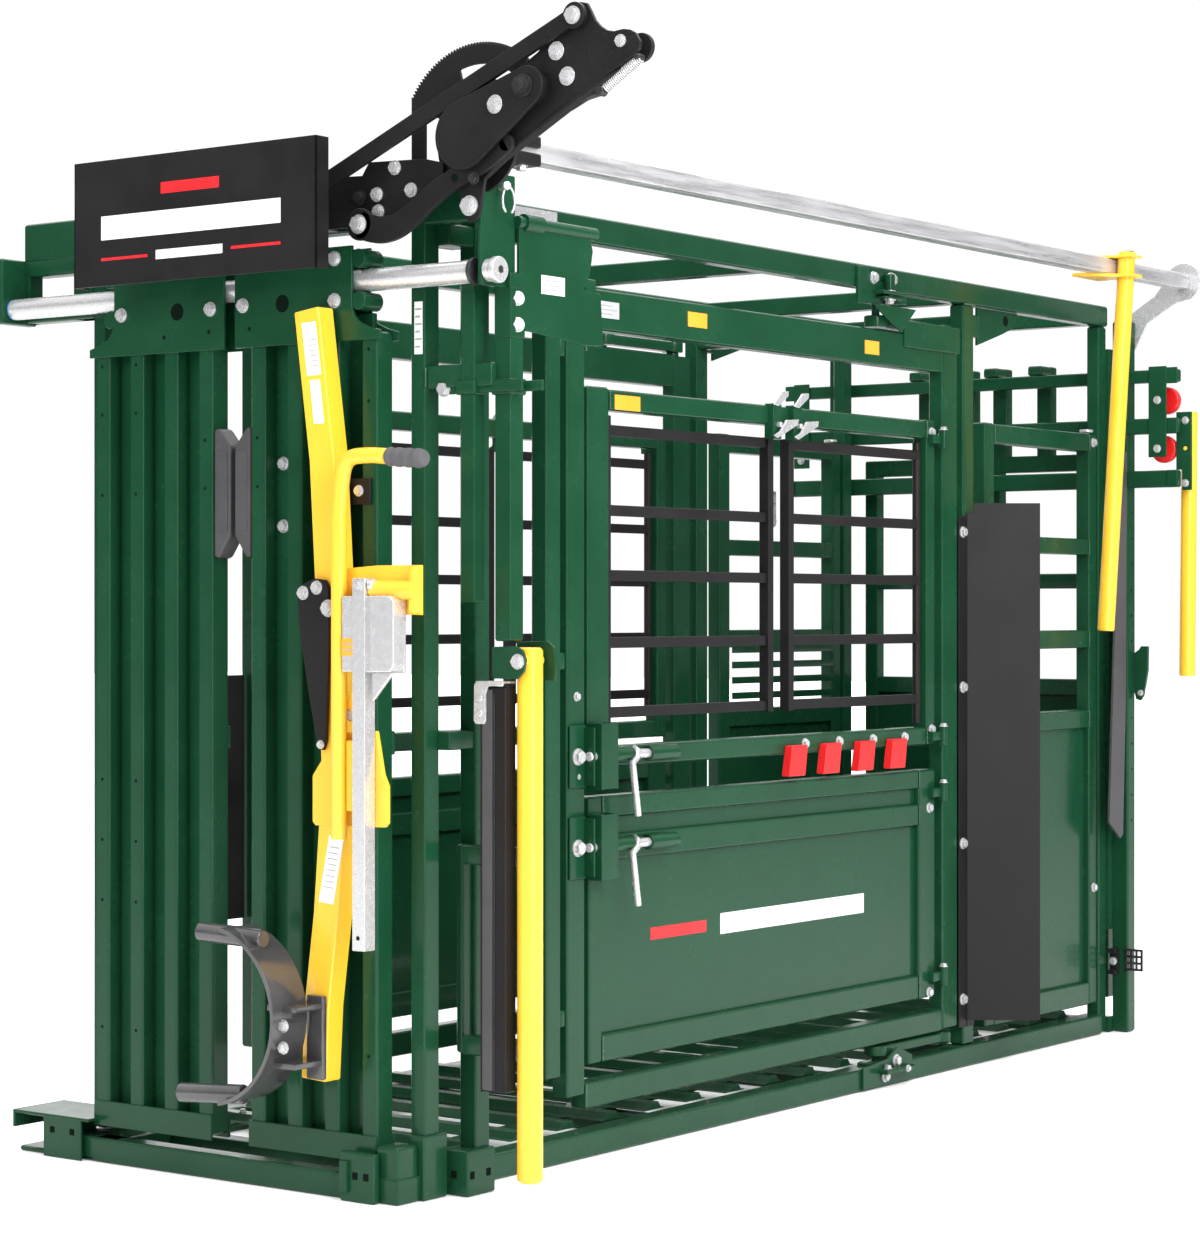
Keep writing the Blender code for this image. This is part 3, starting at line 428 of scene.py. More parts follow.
def rod(start: Point, end: Point, radius: float, sides: int = 24, edge: float = 0.002) -> Shell:
    """Round bar with chamfered ends.

    Args:
        start: middle of one end.
        end: middle of the other.
        radius: its radius.
        sides: sides of its section.
        edge: width of the chamfer.

    Returns:
        The shell.
    """
    a = Vector(start)
    b = Vector(end)
    edge = min(edge, radius * 0.5, (b - a).length * 0.3)
    step = (b - a).normalized() * edge
    path = [tuple(a), tuple(a + step), tuple(b - step), tuple(b)]
    return tube(path, [radius - edge, radius, radius, radius - edge], sides)


def disc(axis: Axis, centre: Point, radius: float, thick: float, sides: int = 28) -> Shell:
    """Round plate that stands on an axis.

    Args:
        axis: the axis its faces look along.
        centre: its middle.
        radius: its radius.
        thick: its thickness.
        sides: sides of its rim.

    Returns:
        The shell.
    """
    way = {Axis.X: (1, 0, 0), Axis.Y: (0, 1, 0), Axis.Z: (0, 0, 1)}[axis]
    half = [w * thick / 2 for w in way]
    low = tuple(c - h for c, h in zip(centre, half))
    high = tuple(c + h for c, h in zip(centre, half))
    return rod(low, high, radius, sides, 0.0012)


def ring(axis: Axis, centre: Point, outer: float, inner: float, thick: float, sides: int = 40) -> Shell:
    """Flat ring that stands on an axis.

    Args:
        axis: the axis its faces look along.
        centre: its middle.
        outer: outer radius.
        inner: inner radius.
        thick: its thickness.
        sides: sides of its rim.

    Returns:
        The shell.
    """
    rows = []
    for radius, lift in ((outer, -0.5), (outer, 0.5), (inner, 0.5), (inner, -0.5)):
        row = []
        for k in range(sides):
            t = 2 * math.pi * k / sides
            u, v, w = radius * math.cos(t), radius * math.sin(t), lift * thick
            off = {Axis.X: (w, u, v), Axis.Y: (u, w, v), Axis.Z: (u, v, w)}[axis]
            row.append(tuple(c + o for c, o in zip(centre, off)))
        rows.append(row)
    verts = [p for row in rows for p in row]
    faces = []
    for r in range(4):
        for k in range(sides):
            m = (k + 1) % sides
            n = (r + 1) % 4
            faces.append((r * sides + k, r * sides + m, n * sides + m, n * sides + k))
    return verts, faces


def slab(centre: Point, u: Point, v: Point, thick: float) -> Shell:
    """Flat plate.

    Args:
        centre: middle of the plate.
        u: half extent along its first side.
        v: half extent along its second side.
        thick: thickness along the normal u x v.

    Returns:
        The shell.
    """
    c = Vector(centre)
    a = Vector(u)
    b = Vector(v)
    n = a.cross(b).normalized() * thick / 2
    verts = [tuple(c + i * a + j * b + k * n) for i in (-1, 1) for j in (-1, 1) for k in (-1, 1)]
    return verts, BOX_FACES


def plate(outline: list[Flat], axis: Axis, low: float, high: float) -> Shell:
    """Plate with a flat outline.

    Args:
        outline: corners on the two axes that are left, in order.
        axis: the axis its faces look along.
        low: where it starts on that axis.
        high: where it ends.

    Returns:
        The shell.
    """
    slot = (Axis.X, Axis.Y, Axis.Z).index(axis)
    n = len(outline)
    verts = [(*p[:slot], level, *p[slot:]) for level in (low, high) for p in outline]
    faces: list[tuple[int, ...]] = [tuple(range(n)), tuple(range(2 * n - 1, n - 1, -1))]
    faces += [(i, n + i, n + (i + 1) % n, (i + 1) % n) for i in range(n)]
    return verts, faces


def tube(path: list[Point], radius: float | list[float], sides: int = 20, square: bool = False) -> Shell:
    """Round or square bar along a path.

    Args:
        path: the points it follows.
        radius: its radius, or half width if square, the same all along or one per point.
        sides: sides of the round section.
        square: whether the section is square.

    Returns:
        The shell, closed at both ends.
    """
    pts = [Vector(p) for p in path]
    radii = radius if isinstance(radius, list) else [radius] * len(pts)
    count = 4 if square else sides
    first = (pts[1] - pts[0]).normalized()
    up = Vector((0, 0, 1)) if abs(first.z) < 0.9 else Vector((0, 1, 0))
    u = first.cross(up).normalized()
    rings = []
    for i, p in enumerate(pts):
        before = (p - pts[i - 1]).normalized() if i else first
        after = (pts[i + 1] - p).normalized() if i + 1 < len(pts) else before
        along = (before + after).normalized()
        u = (u - along * u.dot(along)).normalized()
        v = along.cross(u)
        wide = radii[i] * (math.sqrt(2) if square else 1.0)
        rim = []
        for k in range(count):
            t = 2 * math.pi * (k + 0.5) / count
            rim.append(tuple(p + (u * math.cos(t) + v * math.sin(t)) * wide))
        rings.append(rim)
    verts = [p for rim in rings for p in rim]
    last = (len(rings) - 1) * count
    faces: list[tuple[int, ...]] = [tuple(range(count)), tuple(last + k for k in reversed(range(count)))]
    for i in range(len(rings) - 1):
        for k in range(count):
            m = (k + 1) % count
            faces.append((i * count + k, (i + 1) * count + k, (i + 1) * count + m, i * count + m))
    return verts, faces


def bend(points: list[Point], radius: float, steps: int = 6) -> list[Point]:
    """Rounds the inner corners of a path.

    Args:
        points: the path.
        radius: how far from a corner the rounding starts.
        steps: steps of each corner.

    Returns:
        The rounded path.
    """
    pts = [Vector(p) for p in points]
    out = [tuple(pts[0])]
    for i in range(1, len(pts) - 1):
        a = (pts[i - 1] - pts[i])
        b = (pts[i + 1] - pts[i])
        reach = min(radius, a.length * 0.48, b.length * 0.48)
        start = pts[i] + a.normalized() * reach
        end = pts[i] + b.normalized() * reach
        for k in range(steps + 1):
            t = k / steps
            out.append(tuple(start * (1 - t) ** 2 + pts[i] * 2 * t * (1 - t) + end * t * t))
    out.append(tuple(pts[-1]))
    return out


def arc(cx: float, cz: float, radius: float, start: float, end: float, steps: int) -> list[Flat]:
    """Points on an arc.

    Args:
        cx: first coordinate of its centre.
        cz: second coordinate of its centre.
        radius: its radius.
        start: first angle in degrees.
        end: last angle in degrees.
        steps: number of steps.

    Returns:
        The points, both ends among them.
    """
    out = []
    for i in range(steps + 1):
        t = math.radians(start + (end - start) * i / steps)
        out.append((cx + radius * math.cos(t), cz + radius * math.sin(t)))
    return out


def mirrored(shells: list[Shell]) -> list[Shell]:
    """The same shells on the other side of the chute."""
    return [([(-x, y, z) for x, y, z in v], [tuple(reversed(f)) for f in faces]) for v, faces in shells]


def ribbon(path: list[Flat], first: float, last: float) -> list[Flat]:
    """Outline of a strip round a path.

    Args:
        path: the middle of the strip.
        first: half width at its start.
        last: half width at its end.

    Returns:
        The outline.
    """
    left: list[Flat] = []
    right: list[Flat] = []
    n = len(path)
    for i, (x, z) in enumerate(path):
        ax, az = path[max(i - 1, 0)]
        bx, bz = path[min(i + 1, n - 1)]
        d = math.hypot(bx - ax, bz - az) or 1.0
        nx, nz = -(bz - az) / d, (bx - ax) / d
        w = first + (last - first) * i / (n - 1)
        left.append((x + nx * w, z + nz * w))
        right.append((x - nx * w, z - nz * w))
    return left + right[::-1]


# ---- workshop -------------------------------------------------------------------------------
def link_object(name: str, data: bpy.types.Mesh) -> bpy.types.Object:
    """Puts a mesh into the scene.

    Args:
        name: name of the object.
        data: its mesh.

    Returns:
        The object.
    """
    obj = bpy.data.objects.new(name, data)
    bpy.context.scene.collection.objects.link(obj)
    return obj


@dataclass
class Workshop:
    """Turns shells and node trees into pieces that ride on the frame's bodies."""

    frame: dict
    finishes: Finishes
    slot_of: dict[str, Slot] = field(default_factory=dict)

    def __post_init__(self) -> None:
        """Reads the slot of each CAD node."""
        for row in self.frame["record"]["subparts"]:
            self.slot_of[row["node"]] = Slot(row["material_slot"])

    @staticmethod
    def mesh(name: str, shells: list[Shell]) -> bpy.types.Object:
        """Joins shells in one object, normals outward.

        Args:
            name: name of the object.
            shells: its closed shells.

        Returns:
            The object.
        """
        bm = bmesh.new()
        for verts, faces in shells:
            made = [bm.verts.new(v) for v in verts]
            shell = [bm.faces.new([made[i] for i in f]) for f in faces]
            bmesh.ops.recalc_face_normals(bm, faces=shell)
        data = bpy.data.meshes.new(name)
        bm.to_mesh(data)
        bm.free()
        return link_object(name, data)

    @staticmethod
    def smooth(obj: bpy.types.Object) -> None:
        """Shades every face smooth."""
        for poly in obj.data.polygons:
            poly.use_smooth = True

    def finish(self, obj: bpy.types.Object, body: str, coat: Coat, node: str = "") -> bpy.types.Object:
        """Dresses a piece and puts it on its body.

        Args:
            obj: the piece.
            body: the body it rides on.
            coat: its finish.
            node: CAD node it stands for, which it hides.

        Returns:
            The same piece.
        """
        obj.data.materials.clear()
        obj.data.materials.append(self.finishes[coat])
        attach(obj, body)
        if node:
            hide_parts(node)
        LOG.info("piece %s on %s, %d faces", obj.name, body, len(obj.data.polygons))
        return obj

    def piece(self, name: str, shells: list[Shell], body: str, coat: Coat, width: float = 0.0015, node: str = "",
            segments: int = 2) -> bpy.types.Object:
        """Builds a piece with rounded edges.

        Args:
            name: name of the piece.
            shells: its closed shells.
            body: the body it rides on.
            coat: its finish.
            width: rounding of its edges.
            node: CAD node it stands for.
            segments: steps of the rounding.

        Returns:
            The piece.
        """
        obj = self.mesh(name, shells)
        self.smooth(obj)
        bevel = obj.modifiers.new("soft_edges", "BEVEL")
        bevel.width = width
        bevel.segments = segments
        bevel.limit_method = "ANGLE"
        bevel.angle_limit = math.radians(35.0)
        bevel.use_clamp_overlap = False
        bevel.harden_normals = True
        bevel.miter_outer = "MITER_SHARP"
        return self.finish(obj, body, coat, node)

    def members(self, name: str, shells: list[Shell], body: str, coat: Coat, node: str = "") -> bpy.types.Object:
        """Builds a piece whose shells carry their own chamfers, shaded by the large faces.

        Args:
            name: name of the piece.
            shells: its closed shells.
            body: the body it rides on.
            coat: its finish.
            node: CAD node it stands for.

        Returns:
            The piece.
        """
        obj = self.mesh(name, shells)
        self.smooth(obj)
        obj.modifiers.new("flat_faces", "WEIGHTED_NORMAL").weight = 100
        return self.finish(obj, body, coat, node)

    @staticmethod
    def points(name: str, rows: list[Row]) -> bpy.types.Object:
        """Makes points, each with a direction and a size.

        Args:
            name: name of the object.
            rows: place, direction and size of each point.

        Returns:
            The object.
        """
        data = bpy.data.meshes.new(name)
        data.from_pydata([r[:3] for r in rows], [], [])
        data.attributes.new("way", "FLOAT_VECTOR", "POINT")
        data.attributes.new("size", "FLOAT", "POINT")
        for i, row in enumerate(rows):
            data.attributes["way"].data[i].vector = row[3:6]
            data.attributes["size"].data[i].value = row[6]
        return link_object(name, data)

    @staticmethod
    def grow(obj: bpy.types.Object, tree: bpy.types.NodeTree, values: dict[str, float],
            smooth: float = 30.0) -> bpy.types.Object:
        """Runs a Geometry Nodes tree on an object and keeps the result as a plain mesh.

        Args:
            obj: the object that feeds the tree.
            tree: the tree.
            values: values of its named inputs.
            smooth: faces that meet at less than this angle are shaded smooth.

        Returns:
            A new object with the realised mesh.
        """
        modifier = obj.modifiers.new("grow", "NODES")
        modifier.node_group = tree
        for item in tree.interface.items_tree:
            if item.item_type == "SOCKET" and item.in_out == "INPUT" and item.name in values:
                modifier[item.identifier] = values[item.name]
        graph = bpy.context.evaluated_depsgraph_get()
        data = bpy.data.meshes.new_from_object(obj.evaluated_get(graph), depsgraph=graph)
        name = obj.name
        obj.modifiers.remove(modifier)
        bpy.data.objects.remove(obj, do_unlink=True)
        data.name = name
        bm = bmesh.new()
        bm.from_mesh(data)
        for edge in bm.edges:
            edge.smooth = len(edge.link_faces) == 2 and edge.calc_face_angle(0.0) < math.radians(smooth)
        for face in bm.faces:
            face.smooth = True
        bm.to_mesh(data)
        bm.free()
        return link_object(name, data)


# ---- repeated hardware grown with Geometry Nodes --------------------------------------------
class Trees:
    """Geometry Nodes trees for what repeats."""

    @staticmethod
    def _end(wires: Wires, shape: bpy.types.NodeSocket, material: bpy.types.Material) -> bpy.types.NodeTree:
        """Realises what a tree made, paints it and hands it out."""
        real = wires.node("GeometryNodeRealizeInstances", {0: shape}).outputs[0]
        paint = wires.node("GeometryNodeSetMaterial", {"Geometry": real, "Material": material})
        wires.feed(wires.tree.nodes["out"], {0: paint.outputs[0]})
        return wires.tree

    @staticmethod
    def _cylinder(wires: Wires, sides: int, radius: str, depth: str, lift: float = 0.0) -> bpy.types.NodeSocket:
        """Makes a cylinder that stands on the surface.

        Args:
            wires: the tree.
            sides: sides of the cylinder.
            radius: name of the input that holds its radius.
            depth: name of the input that holds its height.
            lift: how far it starts above the surface.

        Returns:
            Its geometry.
        """
        round_bar = wires.node("GeometryNodeMeshCylinder", {"Vertices": sides, "Radius": wires.entry(radius),
            "Depth": wires.entry(depth)})
        half = wires.math("MULTIPLY_ADD", wires.entry(depth), 0.5, lift)
        place = wires.node("ShaderNodeCombineXYZ", {"Z": half}).outputs[0]
        move = wires.node("GeometryNodeTransform", {"Geometry": round_bar.outputs["Mesh"], "Translation": place})
        return move.outputs["Geometry"]

    @classmethod
    def _scatter(cls, wires: Wires, parts: list[bpy.types.NodeSocket],
            material: bpy.types.Material) -> bpy.types.NodeTree:
        """Puts the joined parts on every point, along its direction and at its size.

        Args:
            wires: the tree.
            parts: what stands on each point.
            material: its material.

        Returns:
            The finished tree.
        """
        join = wires.node("GeometryNodeJoinGeometry")
        for part in parts:
            wires.feed(join, {0: part})
        way = wires.node("GeometryNodeInputNamedAttribute", {"Name": "way"}, data_type="FLOAT_VECTOR")
        size = wires.node("GeometryNodeInputNamedAttribute", {"Name": "size"}, data_type="FLOAT")
        turn = wires.node("FunctionNodeAlignRotationToVector", {"Vector": way.outputs["Attribute"]}, axis="Z")
        cloud = wires.node("GeometryNodeMeshToPoints", {"Mesh": wires.entry("Geometry")})
        put = wires.node("GeometryNodeInstanceOnPoints",
            {"Points": cloud.outputs["Points"], "Instance": join.outputs[0], "Rotation": turn.outputs[0],
            "Scale": size.outputs["Attribute"]})
        return cls._end(wires, put.outputs[0], material)

    @classmethod
    def hex_bolt(cls, material: bpy.types.Material) -> bpy.types.NodeTree:
        """Hex head on a washer, with a domed face.

        Args:
            material: its material.

        Returns:
            The tree.
        """
        wires = Wires.group("GeometryNodeTree", "hex_bolt", {"Washer radius": 0.0135, "Washer height": 0.0022,
            "Head radius": 0.0105, "Head height": 0.009, "Crown radius": 0.008, "Crown height": 0.01})
        rounds = (("Washer", 18), ("Head", 6), ("Crown", 14))
        parts = [cls._cylinder(wires, sides, f"{part} radius", f"{part} height") for part, sides in rounds]
        return cls._scatter(wires, parts, material)

    @classmethod
    def hole(cls, material: bpy.types.Material) -> bpy.types.NodeTree:
        """Punched hole, seen as a dark round inset."""
        wires = Wires.group("GeometryNodeTree", "punched_hole", {"Radius": 0.006, "Depth": 0.0008})
        return cls._scatter(wires, [cls._cylinder(wires, 14, "Radius", "Depth", -0.0004)], material)

    @classmethod
    def weld(cls, material: bpy.types.Material) -> bpy.types.NodeTree:
        """Weld bead along each edge, with overlapping ripples.

        Args:
            material: its material.

        Returns:
            The tree.
        """
        wires = Wires.group("GeometryNodeTree", "weld_bead", {"Radius": 0.003, "Ripple": 0.0007, "Pitch": 0.0045})
        seam = wires.node("GeometryNodeMeshToCurve", {"Mesh": wires.entry("Geometry")}).outputs[0]
        run = wires.node("GeometryNodeResampleCurve", mode="LENGTH")
        wires.feed(run, {"Curve": seam, "Length": wires.entry("Pitch")})
        phase = wires.math("MULTIPLY", wires.node("GeometryNodeInputIndex").outputs[0], 2.2)
        wide = wires.math("MULTIPLY_ADD", wires.math("SINE", phase), wires.entry("Ripple"), wires.entry("Radius"))
        section = wires.node("GeometryNodeCurvePrimitiveCircle", {"Resolution": 8, "Radius": 1.0})
        bead = wires.node("GeometryNodeCurveToMesh", {"Curve": run.outputs[0], "Profile Curve": section.outputs[0],
            "Fill Caps": True, "Scale": wide})
        return cls._end(wires, bead.outputs[0], material)

    @classmethod
    def coil_spring(cls, material: bpy.types.Material, sizes: dict[str, float]) -> bpy.types.NodeTree:
        """Coil spring that stands on the origin.

        Args:
            material: its material.
            sizes: its turns, coil radius, height and wire radius, by the names of the tree's inputs.

        Returns:
            The tree.
        """
        wires = Wires.group("GeometryNodeTree", "coil_spring", sizes)
        radius = wires.entry("Coil radius")
        spiral = wires.node("GeometryNodeCurveSpiral", {"Resolution": 14, "Rotations": wires.entry("Turns"),
            "Start Radius": radius, "End Radius": radius, "Height": wires.entry("Height")})
        section = wires.node("GeometryNodeCurvePrimitiveCircle", {"Resolution": 6, "Radius": wires.entry("Wire")})
        coil = wires.node("GeometryNodeCurveToMesh", {"Curve": spiral.outputs[0], "Profile Curve": section.outputs[0],
            "Fill Caps": True})
        return cls._end(wires, coil.outputs[0], material)


@dataclass
class Kit(Workshop):
    """Workshop that also collects small parts, labels, bolts, holes and welds, one mesh for each kind and body."""

    loose: dict[tuple[str, Coat, bool], list[Shell]] = field(default_factory=dict)
    studs: dict[tuple[Stud, str], list[Row]] = field(default_factory=dict)
    seams: dict[str, list[tuple[Point, Point]]] = field(default_factory=dict)

    def add(self, body: str, coat: Coat, shells: list[Shell], chamfered: bool = True) -> None:
        """Collects small parts; chamfered ones carry their own edges."""
        self.loose.setdefault((body, coat, chamfered), []).extend(shells)

    def bolt(self, body: str, at: Point, way: Point, size: float = 1.0, dark: bool = False) -> None:
        """Adds a bolt head; at lies on the surface and way points out of it."""
        self.studs.setdefault((Stud.DARK_BOLT if dark else Stud.BOLT, body), []).append((*at, *way, size))

    def hole(self, body: str, at: Point, way: Point, size: float = 1.0) -> None:
        """Adds a punched hole."""
        self.studs.setdefault((Stud.HOLE, body), []).append((*at, *way, size))

    def weld(self, body: str, a: Point, b: Point) -> None:
        """Adds a weld bead between two points."""
        self.seams.setdefault(body, []).append((a, b))

    def label(self, body: str, face: Face, at: float, a: Flat, b: Flat, coat: Coat = Coat.WHITE,
            rows: int = 0) -> None:
        """Adds a label, blank or with plain grey rules.

        Args:
            body: the body that carries it.
            face: the side it looks to.
            at: where that surface is on its axis.
            a: low and high of the label along Y on the operator's side, and along X at the front.
            b: its low and high along Z.
            coat: its finish.
            rows: number of grey rules across it.
        """
        out = LABEL_THICK * face.value
        deep = sorted((at - out * 0.2, at + out))
        span = (*deep, *a) if face is Face.OPERATOR else (*a, *deep)
        self.add(body, coat, [box(*span, *b)], False)
        gap = (b[1] - b[0]) / (rows + 1)
        wide = a[1] - a[0]
        for i in range(rows):
            middle = b[0] + gap * (i + 1)
            rule = (a[0] + 0.12 * wide, a[0] + wide * (0.9 if i % 2 else 0.72))
            self.label(body, face, at + out, rule, (middle - 0.14 * gap, middle + 0.14 * gap), Coat.GREY)

    def build(self) -> None:
        """Makes the loose parts, then the bolts, holes and welds."""
        for (body, coat, chamfered), shells in self.loose.items():
            if chamfered:
                self.members(f"{body}_{coat.value}_parts", shells, body, coat)
            else:
                self.finish(self.mesh(f"{body}_{coat.value}_marks", shells), body, coat)
        for stud, coat, tree_of in ((Stud.BOLT, Coat.PLATED, Trees.hex_bolt),
                (Stud.DARK_BOLT, Coat.DARK, Trees.hex_bolt), (Stud.HOLE, Coat.HOLE, Trees.hole)):
            tree = tree_of(self.finishes[coat])
            for (kind, body), rows in self.studs.items():
                if kind is stud:
                    self.finish(self.grow(self.points(f"{body}_{kind.value}", rows), tree, {}), body, coat)
        bead = Trees.weld(self.finishes[Coat.WELD])
        for body, runs in self.seams.items():
            data = bpy.data.meshes.new(f"{body}_welds")
            data.from_pydata([p for run in runs for p in run], [(2 * i, 2 * i + 1) for i in range(len(runs))], [])
            made = self.grow(link_object(data.name, data), bead, {"Radius": 0.003}, smooth=70.0)
            self.finish(made, body, Coat.WELD)


@dataclass(frozen=True)
class Spring:
    """Coil spring between two points."""

    start: Point
    end: Point
    radius: float
    wire: float
    turns: float

    def build(self, kit: Kit, name: str, body: str, coat: Coat) -> bpy.types.Object:
        """Makes the spring.

        Args:
            kit: what it is built with.
            name: name of the piece.
            body: the body it rides on.
            coat: its finish.

        Returns:
            The piece.
        """
        axis = Vector(self.end) - Vector(self.start)
        sizes = {"Turns": self.turns, "Coil radius": self.radius, "Height": axis.length, "Wire": self.wire}
        data = bpy.data.meshes.new(name)
        data.from_pydata([(0.0, 0.0, 0.0)], [], [])
        made = kit.grow(link_object(name, data), Trees.coil_spring(kit.finishes[coat], sizes), sizes, smooth=80.0)
        place = axis.to_track_quat("Z", "Y").to_matrix().to_4x4()
        place.translation = Vector(self.start)
        made.data.transform(place)
        bm = bmesh.new()
        bm.from_mesh(made.data)
        bmesh.ops.recalc_face_normals(bm, faces=bm.faces)
        bm.to_mesh(made.data)
        bm.free()
        return kit.finish(made, body, coat)


# ---- sub-assemblies --------------------------------------------------------------------------
@dataclass
class Base:
    """Base rails, cross members, front channel with its feet, and the slatted floor."""

    kit: Kit
    side_in: float = 0.415
    side_out: float = 0.46
    rail_high: float = 0.057
    front: float = -1.66
    rear: float = 1.392
    arm_y: float = 0.17
    slat_pitch: float = 0.17

    def build(self) -> None:
        """Makes the frame and the floor."""
        right = [bar(self.side_in - 0.005, self.side_out + 0.01, self.front, self.rear, 0.0, self.rail_high, 0.006),
            bar(0.328, 0.489, -1.815, -1.64, 0.0, 0.055), bar(0.415, 0.47, self.arm_y - 0.06, self.arm_y + 0.06, 0.05,
            0.066), bar(0.465, 0.505, self.arm_y - 0.05, self.arm_y + 0.09, 0.038, 0.05, 0.002),
            bar(0.465, 0.477, self.arm_y - 0.05, self.arm_y + 0.09, 0.02, 0.05, 0.002),
            rod((0.4375, self.arm_y, 0.06), (0.4375, self.arm_y, 0.0905), 0.0105)]
        shells = right + mirrored(right)
        for y in (-1.64, -0.83, -0.03, 0.6, 1.34):
            shells.append(bar(-0.42, 0.42, y, y + 0.05, 0.0, 0.05))
        shells += [bar(-0.4, 0.375, -1.82, -1.768, 0.0, 0.055, 0.006), bar(-0.64, -0.4, -1.815, -1.66, 0.0, 0.012),
            bar(-0.54, -0.425, -1.832, -1.824, 0.0, 0.092, 0.002),
            bar(-0.645, -0.4, -1.832, -1.67, 0.088, 0.096, 0.002), bar(-0.645, -0.637, -1.832, -1.67, 0.056, 0.096,
            0.002), bar(-0.545, -0.537, -1.832, -1.67, 0.0, 0.092, 0.002),
            bar(0.345, 0.44, -1.836, -1.815, 0.0, 0.104, 0.004),
            bar(0.352, 0.372, -1.846, -1.834, 0.02, 0.086, 0.002),
            bar(0.425, 0.485, -1.812, -1.745, 0.04, 0.118, 0.005), bar(0.452, 0.5, -1.745, -1.665, 0.0, 0.135, 0.004),
            bar(0.4705, 0.545, -1.655, -1.56, 0.0, 0.096, 0.004)]
        self.kit.members("base_members", shells, "frame", Coat.GREEN, "base_frame")
        for x in (0.389, 0.419):
            self.kit.add("frame", Coat.HOLE, [box(x - 0.007, x + 0.007, -1.8368, -1.8355, 0.048, 0.063)], False)
        for x in (-0.515, -0.452):
            self.kit.add("frame", Coat.HOLE, [box(x - 0.007, x + 0.007, -1.8328, -1.8315, 0.055, 0.069)], False)
        for y, z in ((-1.64, 0.045), (-1.585, 0.045)):
            self.kit.add("frame", Coat.HOLE, [box(0.5445, 0.5458, y - 0.007, y + 0.007, z - 0.008, z + 0.008)], False)
        self.kit.add("frame", Coat.HOLE, [box(0.5, 0.515, -1.6558, -1.6545, 0.037, 0.053)], False)
        low_ear = [(0.045, 0.006), (0.29, 0.006), (0.29, 0.07), (0.215, 0.098), (0.165, 0.072), (0.045, 0.062)]
        ears = [plate(low_ear, Axis.X, 0.4705, 0.4775)]
        self.kit.piece("base_ears", ears + mirrored(ears), "frame", Coat.GREEN, 0.0012)
        self.kit.bolt("frame", (0.4775, 0.205, 0.064), OUTWARD, 1.2)
        self.kit.bolt("frame", (0.4775, 0.15, 0.03), OUTWARD, 1.2)
        self._floor()
        for side in (1, -1):
            self.kit.bolt("frame", (side * 0.487, self.arm_y - 0.02, 0.05), UP, 0.9)
            self.kit.bolt("frame", (side * 0.505, self.arm_y + 0.05, 0.044), (side, 0, 0), 0.7)

    def _floor(self) -> None:
        """Hat-section slats on two runners, bolted down."""
        shells = [bar(x, x + 0.04, -1.59, 1.338, 0.0503, 0.0585, 0.001) for x in (-0.3, 0.26)]
        y = -1.5
        while y < 1.3:
            section = [(y, 0.059), (y + 0.014, 0.059), (y + 0.026, 0.075), (y + 0.059, 0.075), (y + 0.071, 0.059),
                (y + 0.085, 0.059), (y + 0.085, 0.0575), (y, 0.0575)]
            shells.append(plate(section, Axis.X, -0.404, 0.404))
            for x in (-0.28, 0.28):
                self.kit.bolt("frame", (x, y + 0.0425, 0.075), UP, 0.7)
            y += self.slat_pitch
        self.kit.piece("floor_slats", shells, "frame", Coat.GREEN, 0.0008, "floor_deck")


